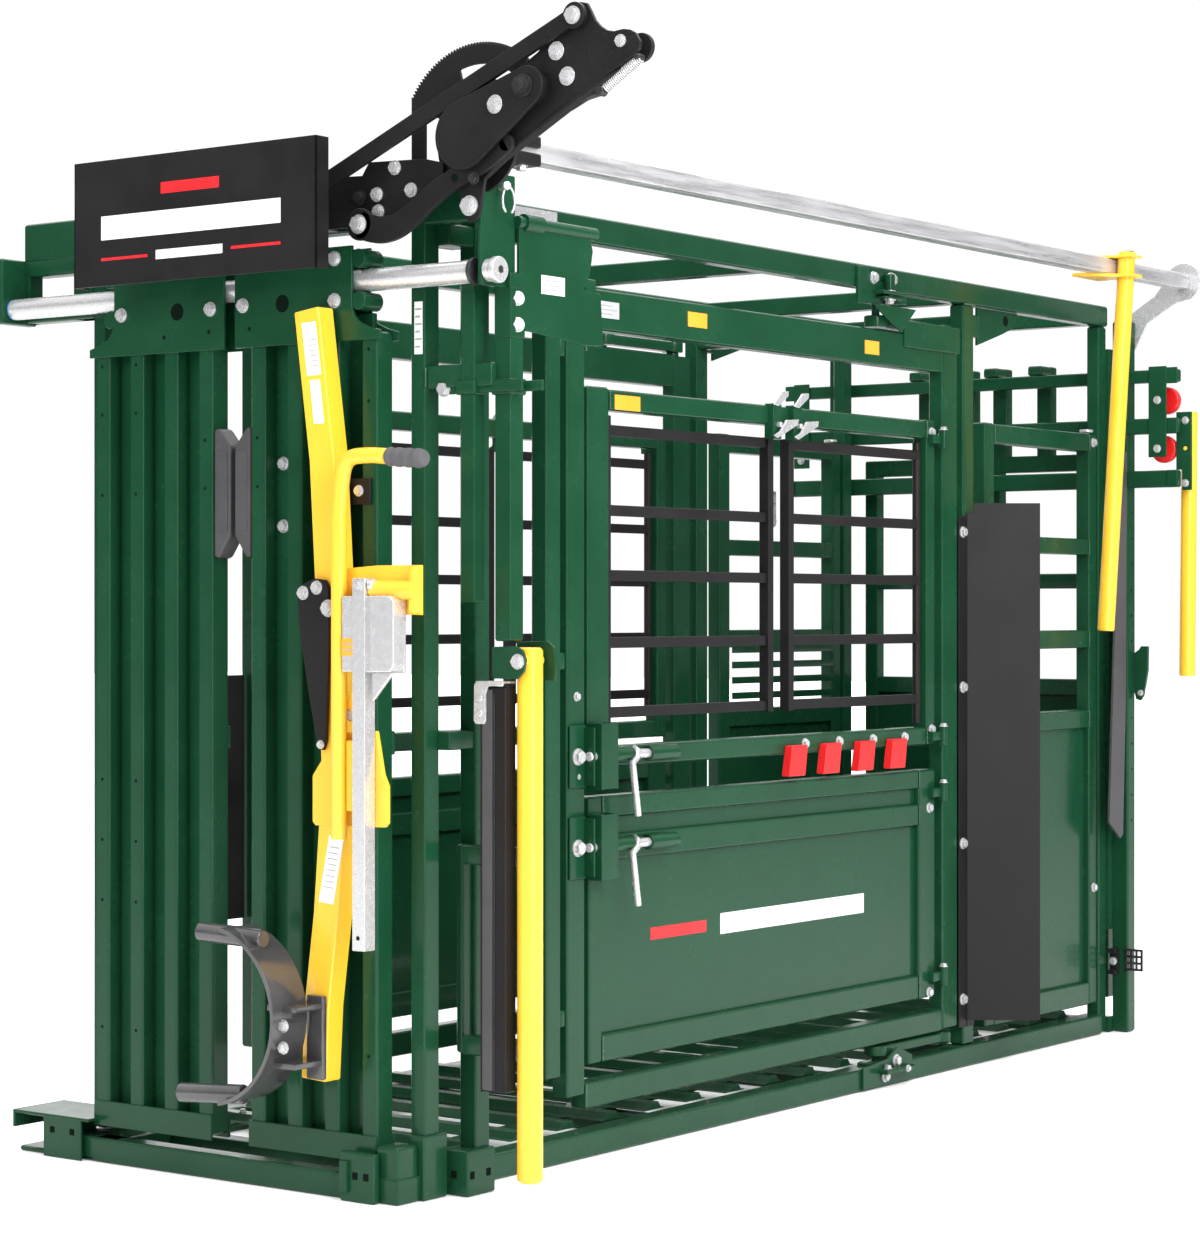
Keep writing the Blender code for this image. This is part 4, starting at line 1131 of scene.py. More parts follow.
@dataclass
class Roof:
    """Side rails, cross members, gussets and the arms' brackets of the roof, and the middle portal."""

    kit: Kit
    side_in: float = 0.415
    side_out: float = 0.46
    low: float = 2.065
    top: float = 2.125
    arm_y: float = 0.17

    def build(self) -> None:
        """Makes the roof and the middle portal."""
        ear = [(0.034, 2.116), (0.075, 2.119), (0.13, 2.082), (0.172, 2.084), (0.214, 2.11), (0.27, 2.101),
            (0.279, 2.036), (0.034, 2.021)]
        gusset = [(0.085, 2.023), (0.298, 2.023), (0.225, 1.959), (0.15, 1.99)]
        right = [bar(self.side_in, self.side_out, -1.6, 1.446, self.low, self.top, 0.006),
            bar(0.4175, 0.4575, self.arm_y - 0.06, self.arm_y + 0.06, 2.03, 2.07),
            bar(0.452, 0.5, self.arm_y - 0.06, self.arm_y + 0.06, 2.05, 2.06, 0.002),
            bar(0.452, 0.496, self.arm_y - 0.05, self.arm_y + 0.05, 2.04, 2.046, 0.002),
            rod((0.4375, self.arm_y, 2.04), (0.4375, self.arm_y, 2.0005), 0.0105),
            rod((0.48, self.arm_y, 2.04), (0.48, self.arm_y, 2.105), 0.014)]
        shells = right + mirrored(right)
        for y in (-1.54, -0.35, 0.62, 1.396):
            shells.append(bar(-0.42, 0.42, y, y + 0.05, 2.07, 2.12))
        self.kit.members("roof_members", shells, "frame", Coat.GREEN, "roof_frame")
        plates = [plate(ear, Axis.X, 0.4602, 0.4682), plate(gusset, Axis.X, 0.479, 0.485)]
        plates.append(plate([(0.7, 2.064), (0.93, 2.064), (0.9, 2.02), (0.84, 2.0), (0.7, 1.96)], Axis.X, 0.434,
            0.441))
        plates += mirrored(plates)
        self.kit.piece("roof_gussets", plates, "frame", Coat.GREEN, 0.0012)
        for side in (1, -1):
            self.kit.bolt("frame", (side * 0.4682, 0.108, 2.092), (side, 0, 0), 1.2)
            self.kit.bolt("frame", (side * 0.4682, 0.195, 2.094), (side, 0, 0), 1.4)
            self.kit.bolt("frame", (side * 0.48, self.arm_y, 2.06), UP, 1.2)
            self.kit.bolt("frame", (side * 0.48, self.arm_y, 2.04), DOWN, 1.2)
            self.kit.add("frame", Coat.HOLE, [disc(Axis.X, (side * 0.4412, 0.86, 2.038), 0.014, 0.001)], False)
        right = [bar(self.side_in, self.side_out, 0.59, 0.65, 0.0573, 2.0647, 0.006),
            bar(self.side_in + 0.005, self.side_out - 0.005, 0.645, 0.69, 1.98, 2.04)]
        shells = right + mirrored(right) + [bar(-0.42, 0.42, 0.6, 0.64, 1.985, 2.035)]
        self.kit.members("mid_members", shells, "frame", Coat.GREEN, "mid_frame")
        self.kit.label("frame", Face.OPERATOR, 0.4597, (-1.5, -1.33), (2.072, 2.118))


@dataclass
class RearEnd:
    """Rear portal, sliding gate halves, rollers, gate lever, latch, guide strip and step."""

    kit: Kit
    gate_y: float = 1.545

    def build(self) -> None:
        """Makes the rear end."""
        self._portal()
        self._gates()
        self._lever()

    def _portal(self) -> None:
        """Makes the rear portal, the guide strip, the eye of the control bar and the step."""
        right = [bar(0.415, 0.456, 1.3925, 1.442, 0.0, 2.0645, 0.006),
            bar(0.462, 0.514, 1.463, 1.514, 0.0, 2.083, 0.006), bar(0.444, 0.466, 1.438, 1.468, 0.3, 2.0, 0.001),
            bar(0.444, 0.466, 1.438, 1.468, 0.0, 0.045, 0.001), bar(0.583, 0.64, 1.456, 1.4616, 1.68, 1.944, 0.002),
            bar(0.6, 0.624, 1.46, 1.47, 1.69, 1.934, 0.001), bar(0.64, 0.672, 1.4585, 1.462, 1.592, 1.642, 0.001),
            bar(0.638, 0.673, 1.458, 1.465, 1.893, 1.94, 0.002)]
        shells = right + mirrored(right)
        for z, tall in ((1.897, 0.038), (1.748, 0.046), (1.592, 0.05)):
            shells.append(bar(-0.672, 0.672, 1.462, 1.492, z, z + tall))
        self.kit.members("rear_members", shells, "frame", Coat.GREEN, "rear_frame")
        for z in (1.8455, 1.7045):
            for side in (1, -1):
                self.kit.bolt("frame", (side * 0.612, 1.456, z), FRONT, 0.9)
        z = 0.62
        while z < 1.66:
            self.kit.hole("frame", (0.514, 1.4885, z), OUTWARD, 0.6)
            z += 0.075
        strip = [(1.35, 0.62), (1.42, 0.571), (1.436, 0.582), (1.455, 1.0), (1.4615, 1.698), (1.42, 1.698)]
        self.kit.piece("guide_strip_plate", [plate(strip, Axis.X, 0.505, 0.513)], "frame", Coat.RUBBER, 0.001,
            "guide_strip")
        eye = [(0.464, 2.0), (0.512, 2.0), (0.55, 2.075), (0.645, 2.132)]
        eye += arc(0.665, 2.19, 0.055, -70, 170, 22)
        eye += [(0.575, 2.155), (0.512, 2.115), (0.464, 2.083)]
        self.kit.piece("rear_eye_plate", [plate(eye, Axis.Y, 1.5145, 1.5245)], "frame", Coat.PLATED, 0.0015,
            "rear_bar_bracket")
        cells = []
        for i in range(4):
            z = 0.182 + 0.019 * i
            cells.append(bar(0.505, 0.56, 1.459, 1.462, z, z + 0.007, 0.0006))
        for i in range(4):
            x = 0.507 + 0.0165 * i
            cells.append(bar(x, x + 0.007, 1.4585, 1.4625, 0.182, 0.246, 0.0006))
        self.kit.add("frame", Coat.DARK, cells)
        clamp = [bar(0.462, 0.488, 1.435, 1.462, 0.17, 0.183, 0.002),
            bar(0.462, 0.488, 1.435, 1.462, 0.232, 0.245, 0.002), bar(0.462, 0.488, 1.448, 1.462, 0.175, 0.24, 0.002)]
        self.kit.add("frame", Coat.BLACK, clamp)
        self.kit.bolt("frame", (0.475, 1.448, 0.208), FRONT, 0.9)

    def _gates(self) -> None:
        """Makes the two gate halves and the rollers."""
        for side, sign in (("right", 1), ("left", -1)):
            y0 = self.gate_y - 0.022
            y1 = self.gate_y + 0.022
            shells = [bar(0.012, 0.057, y0, y1, 0.09, 1.7), bar(0.375, 0.42, y0, y1, 0.09, 1.7),
                bar(0.03, 0.08, y0 + 0.003, y1 - 0.003, 1.69, 1.965),
                bar(0.18, 0.23, y0 + 0.003, y1 - 0.003, 1.69, 1.965),
                bar(0.031, 0.079, 1.4665, y1 - 0.004, 1.936, 1.9645),
                bar(0.181, 0.229, 1.4665, y1 - 0.004, 1.936, 1.9645),
                bar(0.05, 0.382, y0 + 0.018, y1 - 0.018, 0.1, 1.0, 0.0008)]
            for z0, z1 in ((1.65, 1.7), (1.3, 1.345), (0.98, 1.03), (0.09, 0.15)):
                shells.append(bar(0.05, 0.382, y0 + 0.001, y1 - 0.001, z0, z1))
            if sign < 0:
                shells = mirrored(shells)
            self.kit.members(f"rear_gate_{side}_members", shells, f"rear_gate_{side}", Coat.GREEN,
                f"rear_gate_{side}")
        for name, x, z in (("upper", 0.621, 1.8455), ("lower", 0.612, 1.7045)):
            wheel = [rod((x, 1.4925, z), (x, 1.518, z), 0.04, 40, 0.006)]
            self.kit.members(f"roller_{name}", wheel, f"rear_roller_{name}", Coat.RED, f"rear_roller_{name}")

    def _lever(self) -> None:
        """Makes the gate's lever and its latch."""
        flat = [(0.6725, 1.584), (0.7, 1.584), (0.7, 1.811), (0.6535, 1.811), (0.6535, 1.6435), (0.6725, 1.6435)]
        shells = [plate(flat, Axis.Y, 1.4935, 1.5035), box(0.676, 0.694, 1.5, 1.5165, 1.65, 1.68),
            box(0.676, 0.694, 1.5, 1.5165, 1.74, 1.77)]
        self.kit.piece("gate_lever_plate", shells, "rear_lever", Coat.GREEN, 0.0015, "rear_lever_plate")
        self.kit.members("gate_lever_tube", [rod((0.6745, 1.54, 1.813), (0.6665, 1.54, 1.044), 0.023, 32)],
            "rear_lever", Coat.YELLOW, "rear_lever")
        for z in (1.786, 1.604):
            self.kit.bolt("rear_lever", (0.683, 1.4935, z), FRONT, 0.85)
        self.kit.add("rear_lever", Coat.YELLOW, [disc(Axis.Y, (0.683, 1.493, 1.705), 0.006, 0.001)])
        latch = [(0.5165, 1.0), (0.522, 0.975), (0.537, 0.97), (0.547, 0.985), (0.56, 1.06), (0.561, 1.13),
            (0.538, 1.13), (0.532, 1.12), (0.5165, 1.11)]
        self.kit.piece("rear_latch_plate", [plate(latch, Axis.Y, 1.498, 1.509)], "rear_latch", Coat.GREEN, 0.002,
            "rear_latch")
        self.kit.bolt("rear_latch", (0.538, 1.498, 0.993), FRONT, 0.7)


@dataclass
class HeadGateFrame:
    """Columns, top beam, outrigger, hanger plate, slide pipe, squeeze handle and its cover."""

    kit: Kit
    column_top: float = 2.06
    low: float = 0.0573

    def build(self) -> None:
        """Makes the frame round the head gate."""
        side = [bar(0.45, 0.49, -1.73, -1.68, self.low, self.column_top),
            bar(0.485, 0.53, -1.61, -1.56, self.low, self.column_top), bar(0.455, 0.525, -1.69, -1.6, 2.0, 2.045),
            bar(0.455, 0.525, -1.69, -1.6, 0.94, 0.98), bar(0.462, 0.535, -1.65, -1.55, self.low, 0.09)]
        shells = side + mirrored(side) + [bar(-0.72, 0.66, -1.7295, -1.6805, 2.04, 2.13, 0.006),
            bar(-0.745, -0.49, -1.729, -1.681, 2.006, 2.045), bar(-0.745, -0.7, -1.728, -1.682, 1.9, 2.045),
            bar(-0.745, -0.49, -1.729, -1.681, 1.9, 1.939), bar(-0.558, -0.49, -1.728, -1.682, 1.9, 2.045),
            bar(-0.745, -0.709, -1.8045, -1.69, 1.895, 2.045, 0.006),
            bar(0.678, 0.688, -1.79, -1.676, 1.897, 2.13, 0.002), bar(0.659, 0.683, -1.728, -1.682, 1.95, 2.128),
            bar(0.489, 0.665, -1.728, -1.682, 1.695, 1.745), bar(0.658, 0.702, -1.71, -1.664, 1.17, 1.93),
            bar(0.529, 0.668, -1.66, -1.62, 0.7, 0.74), bar(0.529, 0.668, -1.66, -1.62, 0.3, 0.34),
            bar(0.5, 0.52, -1.64, -1.6, 0.3, 0.74), bar(0.645, 0.652, -1.699, -1.611, 1.092, 1.158, 0.002)]
        front_ear = [(0.645, 1.092), (0.645, 1.158), (0.704, 1.16), (0.724, 1.152), (0.733, 1.132), (0.728, 1.108),
            (0.712, 1.092)]
        rear_ear = [(0.645, 1.088), (0.645, 1.168), (0.726, 1.17), (0.742, 1.158), (0.748, 1.13), (0.745, 1.088)]
        ears = [plate(front_ear, Axis.Y, -1.701, -1.693), plate(rear_ear, Axis.Y, -1.618, -1.61)]
        self.kit.piece("squeeze_handle_ears", ears, "frame", Coat.GREEN, 0.0015)
        self.kit.members("head_frame_members", shells, "frame", Coat.GREEN, "head_gate_frame")
        self._pipe()
        self._handle()
        self._corner()

    def _pipe(self) -> None:
        """Makes the slide pipe with its caps and collar."""
        pipe = [rod((-0.7045, -1.768, 1.928), (0.6585, -1.768, 1.928), 0.024, 40)]
        self.kit.members("slide_pipe_tube", pipe, "frame", Coat.PLATED, "slide_pipe")
        self.kit.add("frame", Coat.BLUE, [disc(Axis.X, (-0.706, -1.768, 1.928), 0.0235, 0.006)])
        self.kit.add("frame", Coat.DARK, [disc(Axis.X, (0.656, -1.768, 1.928), 0.0285, 0.01)])
        collar = [rod((0.688, -1.768, 1.928), (0.708, -1.768, 1.928), 0.024, 28, 0.003),
            rod((0.706, -1.768, 1.928), (0.722, -1.768, 1.928), 0.0275, 28, 0.003)]
        self.kit.add("frame", Coat.PLATED, collar)
        self.kit.add("frame", Coat.DARK, [disc(Axis.X, (0.7222, -1.768, 1.928), 0.009, 0.001, 6)])

    def _handle(self) -> None:
        """Makes the squeeze handle and the cover of its lock."""
        x, y = 0.71, -1.655
        pipe = [rod((x, y, 1.157), (x, y, 0.05), 0.027, 36, 0.006), rod((x, -1.6855, 1.13), (x, -1.6245, 1.13), 0.015,
            20)]
        self.kit.members("squeeze_handle_tube", pipe, "squeeze_handle", Coat.YELLOW, "squeeze_handle")
        self.kit.bolt("frame", (0.714, -1.701, 1.128), FRONT, 1.2)
        fold = [bar(0.618, 0.6805, -1.7, -1.662, 0.236, 1.076, 0.004),
            bar(0.616, 0.6205, -1.7025, -1.6605, 0.235, 1.078, 0.001)]
        self.kit.members("lock_cover_fold", fold, "frame", Coat.BLACK, "lock_cover")
        self.kit.add("frame", Coat.RUBBER, [bar(0.6205, 0.647, -1.703, -1.699, 0.24, 1.07, 0.0015)])
        self.kit.add("frame", Coat.DARK, [bar(0.65, 0.6525, -1.7022, -1.699, 0.24, 1.06, 0.0008)])
        outline = [(0.603, 1.005), (0.608, 0.998), (0.63, 0.998), (0.634, 1.005), (0.634, 1.06), (0.64, 1.076),
            (0.68, 1.079), (0.68, 1.087), (0.612, 1.087), (0.604, 1.08)]
        self.kit.piece("cover_bracket",
            [plate(outline, Axis.Y, -1.7085, -1.7035), box(0.606, 0.68, -1.705, -1.662, 1.0825, 1.087)], "frame",
            Coat.PLATED, 0.001)
        for z in (1.02, 1.052):
            self.kit.add("frame", Coat.PLATED, [disc(Axis.Y, (0.618, -1.7095, z), 0.008, 0.004, 14)])

    def _corner(self) -> None:
        """Plates, shaft, pins and clamps at the operator's front corner."""
        wing = [(-1.675, 2.03), (-1.43, 2.03), (-1.418, 2.0), (-1.428, 1.95), (-1.45, 1.915), (-1.39, 1.91),
            (-1.38, 1.8), (-1.44, 1.796), (-1.64, 1.812), (-1.675, 1.812)]
        self.kit.piece("corner_wing", [plate(wing, Axis.X, 0.69, 0.697)], "frame", Coat.GREEN, 0.0015)
        self.kit.add("frame", Coat.GREEN, [rod((0.694, -1.68, 2.036), (0.694, -1.405, 2.036), 0.013, 20),
            rod((0.694, -1.66, 2.036), (0.694, -1.6, 2.036), 0.019, 20),
            bar(0.6595, 0.7035, -1.7115, -1.6625, 1.795, 1.9, 0.002), bar(0.52, 0.694, -1.44, -1.4, 1.9, 1.94, 0.003),
            bar(0.52, 0.694, -1.6, -1.56, 2.005, 2.045, 0.003)])
        for z in (1.876, 1.822):
            self.kit.bolt("frame", (0.7035, -1.69, z), (0.85, -0.52, 0), 1.15)
        clamp = [bar(0.52, 0.74, -1.722, -1.714, 1.683, 1.707, 0.002),
            bar(0.654, 0.706, -1.716, -1.66, 1.678, 1.712, 0.003),
            bar(0.575, 0.625, -1.735, -1.69, 1.68, 1.71, 0.003), bar(0.7, 0.775, -1.7, -1.69, 1.683, 1.705, 0.002)]
        self.kit.add("frame", Coat.GREEN, clamp)
        self.kit.add("frame", Coat.GREEN, [bar(0.585, 0.622, -1.73, -1.694, 1.25, 1.96, 0.003)])
        self.kit.bolt("frame", (0.536, -1.722, 1.695), FRONT, 1.25)
        pin = [rod((0.688, -1.73, 2.098), (0.716, -1.745, 2.1), 0.0035, 12),
            rod((0.706, -1.738, 2.099), (0.724, -1.749, 2.101), 0.009, 18)]
        loop = []
        for i in range(13):
            t = math.radians(-60 + 25 * i)
            loop.append((0.716, -1.735 + 0.02 * math.cos(t), 2.072 + 0.028 * math.sin(t)))
        pin.append(tube(loop, 0.0028, 10))
        self.kit.add("frame", Coat.PLATED, pin)
        self.kit.label("frame", Face.OPERATOR, 0.697, (-1.6, -1.519), (1.894, 1.933), rows=3)
        self.kit.label("frame", Face.FRONT, -1.73, (0.462, 0.484), (1.77, 1.88), rows=6)
        self.kit.label("frame", Face.OPERATOR, 0.462, (-1.405, -1.235), (2.07, 2.119), Coat.PLATED, 4)


@dataclass
class HeadGate:
    """Sliding halves of the head gate with their head plates, neck pads, bolts and punched holes."""

    kit: Kit
    inner: float = 0.055
    outer: float = 0.415
    front: float = -1.796
    back: float = -1.74

    def build(self) -> None:
        """Makes both halves."""
        for side, sign in (("right", 1), ("left", -1)):
            body = f"{side}_gate"
            width = 0.045
            pitch = (self.outer - self.inner - width) / 3
            shells = []
            xs = [self.inner + i * pitch for i in range(4)]
            for x in xs:
                shells.append(bar(x, x + width, self.front, self.back, 0.088, 1.818, 0.007))
            for a, b in zip(xs, xs[1:]):
                shells.append(bar(a + width - 0.002, b + 0.002, self.back - 0.018, self.back - 0.004, 0.092, 1.86,
                    0.001))
            shells += [bar(self.inner, self.outer, self.front - 0.005, self.front + 0.003, 0.078, 0.135, 0.002),
                bar(self.inner, self.outer, self.back - 0.008, self.back + 0.004, 0.078, 0.135, 0.002),
                bar(self.inner, self.outer, self.back - 0.006, self.back + 0.004, 0.93, 0.98, 0.002)]
            for x in (self.inner + 0.03, self.outer - 0.05):
                for z in (1.928 + 0.0445, 1.928 - 0.0445):
                    shells.append(rod((x, self.front - 0.004, z), (x, self.back + 0.002, z), 0.02, 24))
            if sign > 0:
                shells.append(rod((0.275, -1.8115, 1.8), (0.275, self.front, 1.8), 0.016, 24))
                shells.append(bar(0.245, 0.305, -1.806, -1.795, 1.77, 1.83, 0.002))
            flat = [(0.0165, 1.8), (0.427, 1.8), (0.427, 1.819), (0.4, 1.826), (0.372, 1.838), (0.357, 1.852),
                (0.35, 1.872), (0.35, 2.0), (0.0165, 2.0)]
            flats = [plate(flat, Axis.Y, self.front - 0.006, self.front + 0.002),
                plate(flat, Axis.Y, self.back - 0.002, self.back + 0.004)]
            pad = [(self.inner - 0.0003, 1.347), (self.inner - 0.0003, 1.63), (0.04, 1.63), (0.0065, 1.589),
                (0.0065, 1.396), (0.04, 1.347)]
            pads = [plate(pad, Axis.Y, -1.794, -1.744)]
            groove = [bar(0.012, 0.046, -1.7952, -1.7935, 1.405, 1.58, 0.0006)]
            if sign < 0:
                shells, flats, pads, groove = (mirrored(s) for s in (shells, flats, pads, groove))
            self.kit.members(f"{body}_tubes", shells, body, Coat.GREEN, f"{side}_gate")
            self.kit.piece(f"{body}_head_plates", flats, body, Coat.GREEN, 0.0012)
            self.kit.piece(f"{body}_pad", pads, body, Coat.RUBBER, 0.0085, f"{side}_neck_pad", 2)
            self.kit.add(body, Coat.RUBBER, groove)
            self._hardware(body, sign, xs, width)

    def _hardware(self, body: str, sign: int, xs: list[float], width: float) -> None:
        """Adds the bolts, the punched holes and the tab.

        Args:
            body: the half.
            sign: 1 for the right half and -1 for the left one.
            xs: low side of each upright.
            width: width of an upright.
        """
        face = self.front - 0.006
        bolts = ((0.042, 1.891), (0.304, 1.975), (0.304, 1.886)) if sign > 0 else ((-0.325, 1.891), (-0.054, 1.889))
        for x, z in bolts:
            self.kit.bolt(body, (x, face, z), FRONT, 1.2)
        self.kit.add(body, Coat.HOLE, [disc(Axis.Y, (sign * 0.155, face, 1.889), 0.019, 0.0012)], False)
        self.kit.hole(body, (sign * 0.195, face, 1.835), FRONT, 0.8)
        self.kit.hole(body, (sign * 0.06, face, 1.84), FRONT, 0.8)
        small = []
        for x in (xs[3] + width / 2, xs[2] + width / 2):
            for z in (1.78, 1.672, 1.492, 0.855, 0.72, 0.585, 0.3):
                small.append((sign * x, z))
        for z in (1.605, 1.5):
            small.append((sign * (xs[0] + width / 2), z))
        for x, z in small:
            self.kit.hole(body, (x, self.front, z), FRONT, 0.62)
        if sign > 0:
            for z in (1.55, 1.415):
                self.kit.bolt(body, (0.12, -1.758, z), FRONT, 1.1)
            tab = bar(0.29, 0.402, -1.804, -1.797, 1.455, 1.51, 0.002)
            self.kit.add(body, Coat.BLACK, [tab])
            self.kit.bolt(body, (0.373, -1.804, 1.484), FRONT, 0.9)


@dataclass
class Sign:
    """Folded cover in front of the linkage with neutral bars."""

    kit: Kit
    left: float = -0.339
    right: float = 0.368
    low: float = 1.94
    high: float = 2.214
    face: float = -1.934

    def build(self) -> None:
        """Makes the cover and its bars."""
        shells = [bar(self.left, self.right, self.face, self.face + 0.004, self.low, self.high, 0.0008),
            bar(self.right - 0.004, self.right, self.face, -1.894, self.low, self.high, 0.0008),
            bar(self.left, self.left + 0.004, self.face, -1.894, self.low, self.high, 0.0008),
            bar(-0.335, -0.3, -1.932, -1.7305, 2.06, 2.12, 0.002), bar(0.225, 0.255, -1.932, -1.7305, 2.042, 2.075,
            0.002)]
        self.kit.members("sign_cover", shells, "frame", Coat.SATIN, "sign_panel")
        self.kit.label("frame", Face.FRONT, self.face, (-0.255, 0.27), (2.04, 2.092))
        self.kit.label("frame", Face.FRONT, self.face, (-0.255, -0.115), (1.995, 2.001), Coat.MARK)
        self.kit.label("frame", Face.FRONT, self.face, (0.13, 0.27), (1.995, 2.001), Coat.MARK)
        self.kit.label("frame", Face.FRONT, self.face, (-0.09, 0.105), (1.988, 2.008))
        self.kit.label("frame", Face.FRONT, self.face, (-0.075, 0.095), (2.128, 2.152), Coat.MARK)


@dataclass
class Linkage:
    """Control bar with its lever, crank, link bar, curved arm, pawl and toothed quadrant."""

    kit: Kit
    x: float = 0.665
    z: float = 2.19
    half: float = 0.0225
    quadrant: float = 0.206
    teeth: int = 46

    def build(self) -> None:
        """Makes the linkage."""
        self._bar()
        self._quadrant()
        self._crank()
        self._arms()

    def _bar(self) -> None:
        """Makes the control bar and its lever."""
        x, z, h = self.x, self.z, self.half
        shells = [bar(x - h, x + h, -1.69, 1.512, z - h, z + h, 0.006), rod((x, -1.8315, z), (x, 1.56, z), 0.019, 32)]
        self.kit.members("control_bar_tube", shells, "control_shaft", Coat.GALVANISED, "control_bar")
        yoke = [bar(x - 0.04, x + 0.04, -1.7, -1.688, z - 0.034, z + 0.034, 0.003),
            bar(x - 0.034, x + 0.034, -1.69, -1.6, z + 0.006, z + 0.03, 0.003),
            bar(x - 0.034, x + 0.034, -1.69, -1.6, z - 0.032, z - 0.006, 0.003)]
        self.kit.add("control_shaft", Coat.BLACK, yoke)
        self.kit.bolt("control_shaft", (x + 0.01, -1.64, z - 0.032), DOWN, 1.1)
        self.kit.add("frame", Coat.PLATED, [ring(Axis.Y, (x, 1.529, z), 0.05, 0.022, 0.006)])
        self.kit.add("control_shaft", Coat.DARK, [disc(Axis.Y, (x, 1.5604, z), 0.014, 0.0012)])
        high = z + h + 0.0003
        low = z - h - 0.0003
        upper = [(0.63, 0.99), (0.7, 1.02), (0.748, 1.02), (0.748, 1.084), (0.63, 1.084)]
        lower = [(0.61, 0.93), (0.64, 0.93), (0.71, 1.015), (0.748, 1.02), (0.748, 1.084), (0.61, 1.084)]
        plates = [plate(upper, Axis.Z, high, high + 0.007), plate(lower, Axis.Z, low - 0.009, low)]
        self.kit.piece("lever_saddle", plates, "control_shaft", Coat.YELLOW, 0.0015)
        pipe = [rod((0.717, 1.052, 2.23), (0.652, 1.052, 1.178), 0.0235, 36, 0.003)]
        self.kit.members("control_lever_tube", pipe, "control_shaft", Coat.YELLOW, "control_lever")
        self.kit.add("control_shaft", Coat.DARK, [disc(Axis.Z, (0.717, 1.052, 2.2305), 0.0185, 0.002)])

    def _quadrant(self) -> None:
        """Makes the fixed plate: fine teeth along its upper left rim, a straight left edge and two slots."""
        cx, cz, r = self.x, self.z, self.quadrant
        rim = []
        start, end = 50.0, 149.0
        for i in range(self.teeth):
            step = (end - start) / self.teeth
            for part, radius in ((0.0, r - 0.006), (0.5, r), (0.68, r)):
                t = math.radians(start + step * (i + part))
                rim.append((cx + radius * math.cos(t), cz + radius * math.sin(t)))
        inner = arc(cx, cz, 0.161, 146, 50, 24)
        band = rim + [(0.491, 2.298), (0.491, 2.1), (0.527, 2.1), (0.527, 2.266)] + inner
        shells = [plate(band, Axis.Y, -1.775, -1.767)]
        for r0, r1, a0, a1 in ((0.13, 0.165, 107, 150), (0.095, 0.134, 30, 150)):
            sector = arc(cx, cz, r1, a0, a1, 14) + arc(cx, cz, r0, a1, a0, 14)
            shells.append(plate(sector, Axis.Y, -1.7747, -1.7673))
        shells.append(disc(Axis.Y, (cx, -1.771, cz), 0.105, 0.0076, 40))
        shells.append(plate([(0.5, 2.1), (0.5, 2.162), (0.6, 2.15), (0.64, 2.1)], Axis.Y, -1.7746, -1.7674))
        mount = [(0.262, 2.04), (0.262, 2.15), (0.366, 2.146), (0.385, 2.173), (0.536, 2.167), (0.585, 2.155),
            (0.585, 2.1), (0.5, 2.04)]
        shells.append(plate(mount, Axis.Y, -1.7865, -1.7785))
        shells.append(box(0.38, 0.392, -1.782, -1.7305, 2.06, 2.12))
        self.kit.piece("quadrant_plate", shells, "frame", Coat.BLACK, 0.0008, "toothed_quadrant")
        for x, z in ((0.457, 2.155), (0.501, 2.105), (0.408, 2.103), (0.412, 2.067)):
            self.kit.bolt("frame", (x, -1.7865, z), FRONT, 1.15)
        self.kit.bolt("frame", (0.36, -1.7865, 2.101), FRONT, 1.2, True)

    def _crank(self) -> None:
        """Makes the crank's two plates with their bosses and bolts."""
        flat = [(0.956, 2.438), (0.972, 2.434), (0.983, 2.415), (0.992, 2.398), (1.005, 2.385), (1.02, 2.375),
            (1.038, 2.371), (1.06, 2.373), (1.076, 2.37), (1.09, 2.362), (1.101, 2.344), (1.099, 2.33),
            (1.088, 2.319)]
        flat += [(1.027, 2.29), (0.95, 2.252), (0.757, 2.15), (0.715, 2.11), (0.704, 2.06), (0.7, 2.034),
            (0.686, 2.024), (0.67, 2.024), (0.655, 2.05)]
        flat += [(0.644, 2.13), (0.615, 2.15), (0.594, 2.18), (0.592, 2.205), (0.606, 2.236)]
        flat += [(0.64, 2.256), (0.74, 2.29), (0.85, 2.35), (0.925, 2.425), (0.938, 2.435)]
        drop = self._drop(0.68, 2.197, 0.071, 0.842, 2.279, 0.041)
        shells = [plate(flat, Axis.Y, -1.812, -1.803), plate(drop, Axis.Y, -1.842, -1.832)]
        self.kit.piece("crank_plates", shells, "control_shaft", Coat.BLACK, 0.0016, "rocker")
        lip = [tube([(x, -1.806, z) for x, z in ((0.7, 2.1), (0.757, 2.146), (0.95, 2.248), (1.05, 2.296))],
            [0.004, 0.01, 0.01, 0.004], 12)]
        lip += [disc(Axis.Y, (0.842, -1.8205, 2.279), 0.034, 0.02, 36),
            disc(Axis.Y, (self.x + 0.006, -1.8205, self.z + 0.014), 0.045, 0.02, 36),
            disc(Axis.Y, (0.95, -1.8155, 2.41), 0.026, 0.007, 30)]
        self.kit.add("control_shaft", Coat.BLACK, lip)
        washers = []
        for x, z, y in ((0.765, 2.25, -1.842), (0.897, 2.347, -1.812), (0.924, 2.294, -1.812)):
            washers.append(disc(Axis.Y, (x, y - 0.001, z), 0.019, 0.0025))
            self.kit.bolt("control_shaft", (x, y - 0.002, z), FRONT, 1.15)
        self.kit.add("control_shaft", Coat.PLATED, washers)
        self.kit.bolt("control_shaft", (0.836, -1.842, 2.28), FRONT, 1.75, True)
        self.kit.bolt("control_shaft", (1.055, -1.812, 2.35), FRONT, 0.95)
        self.kit.bolt("control_shaft", (0.676, -1.812, 2.056), FRONT, 1.55)
        self.kit.bolt("control_shaft", (0.7, -1.828, 2.108), FRONT, 0.95, True)

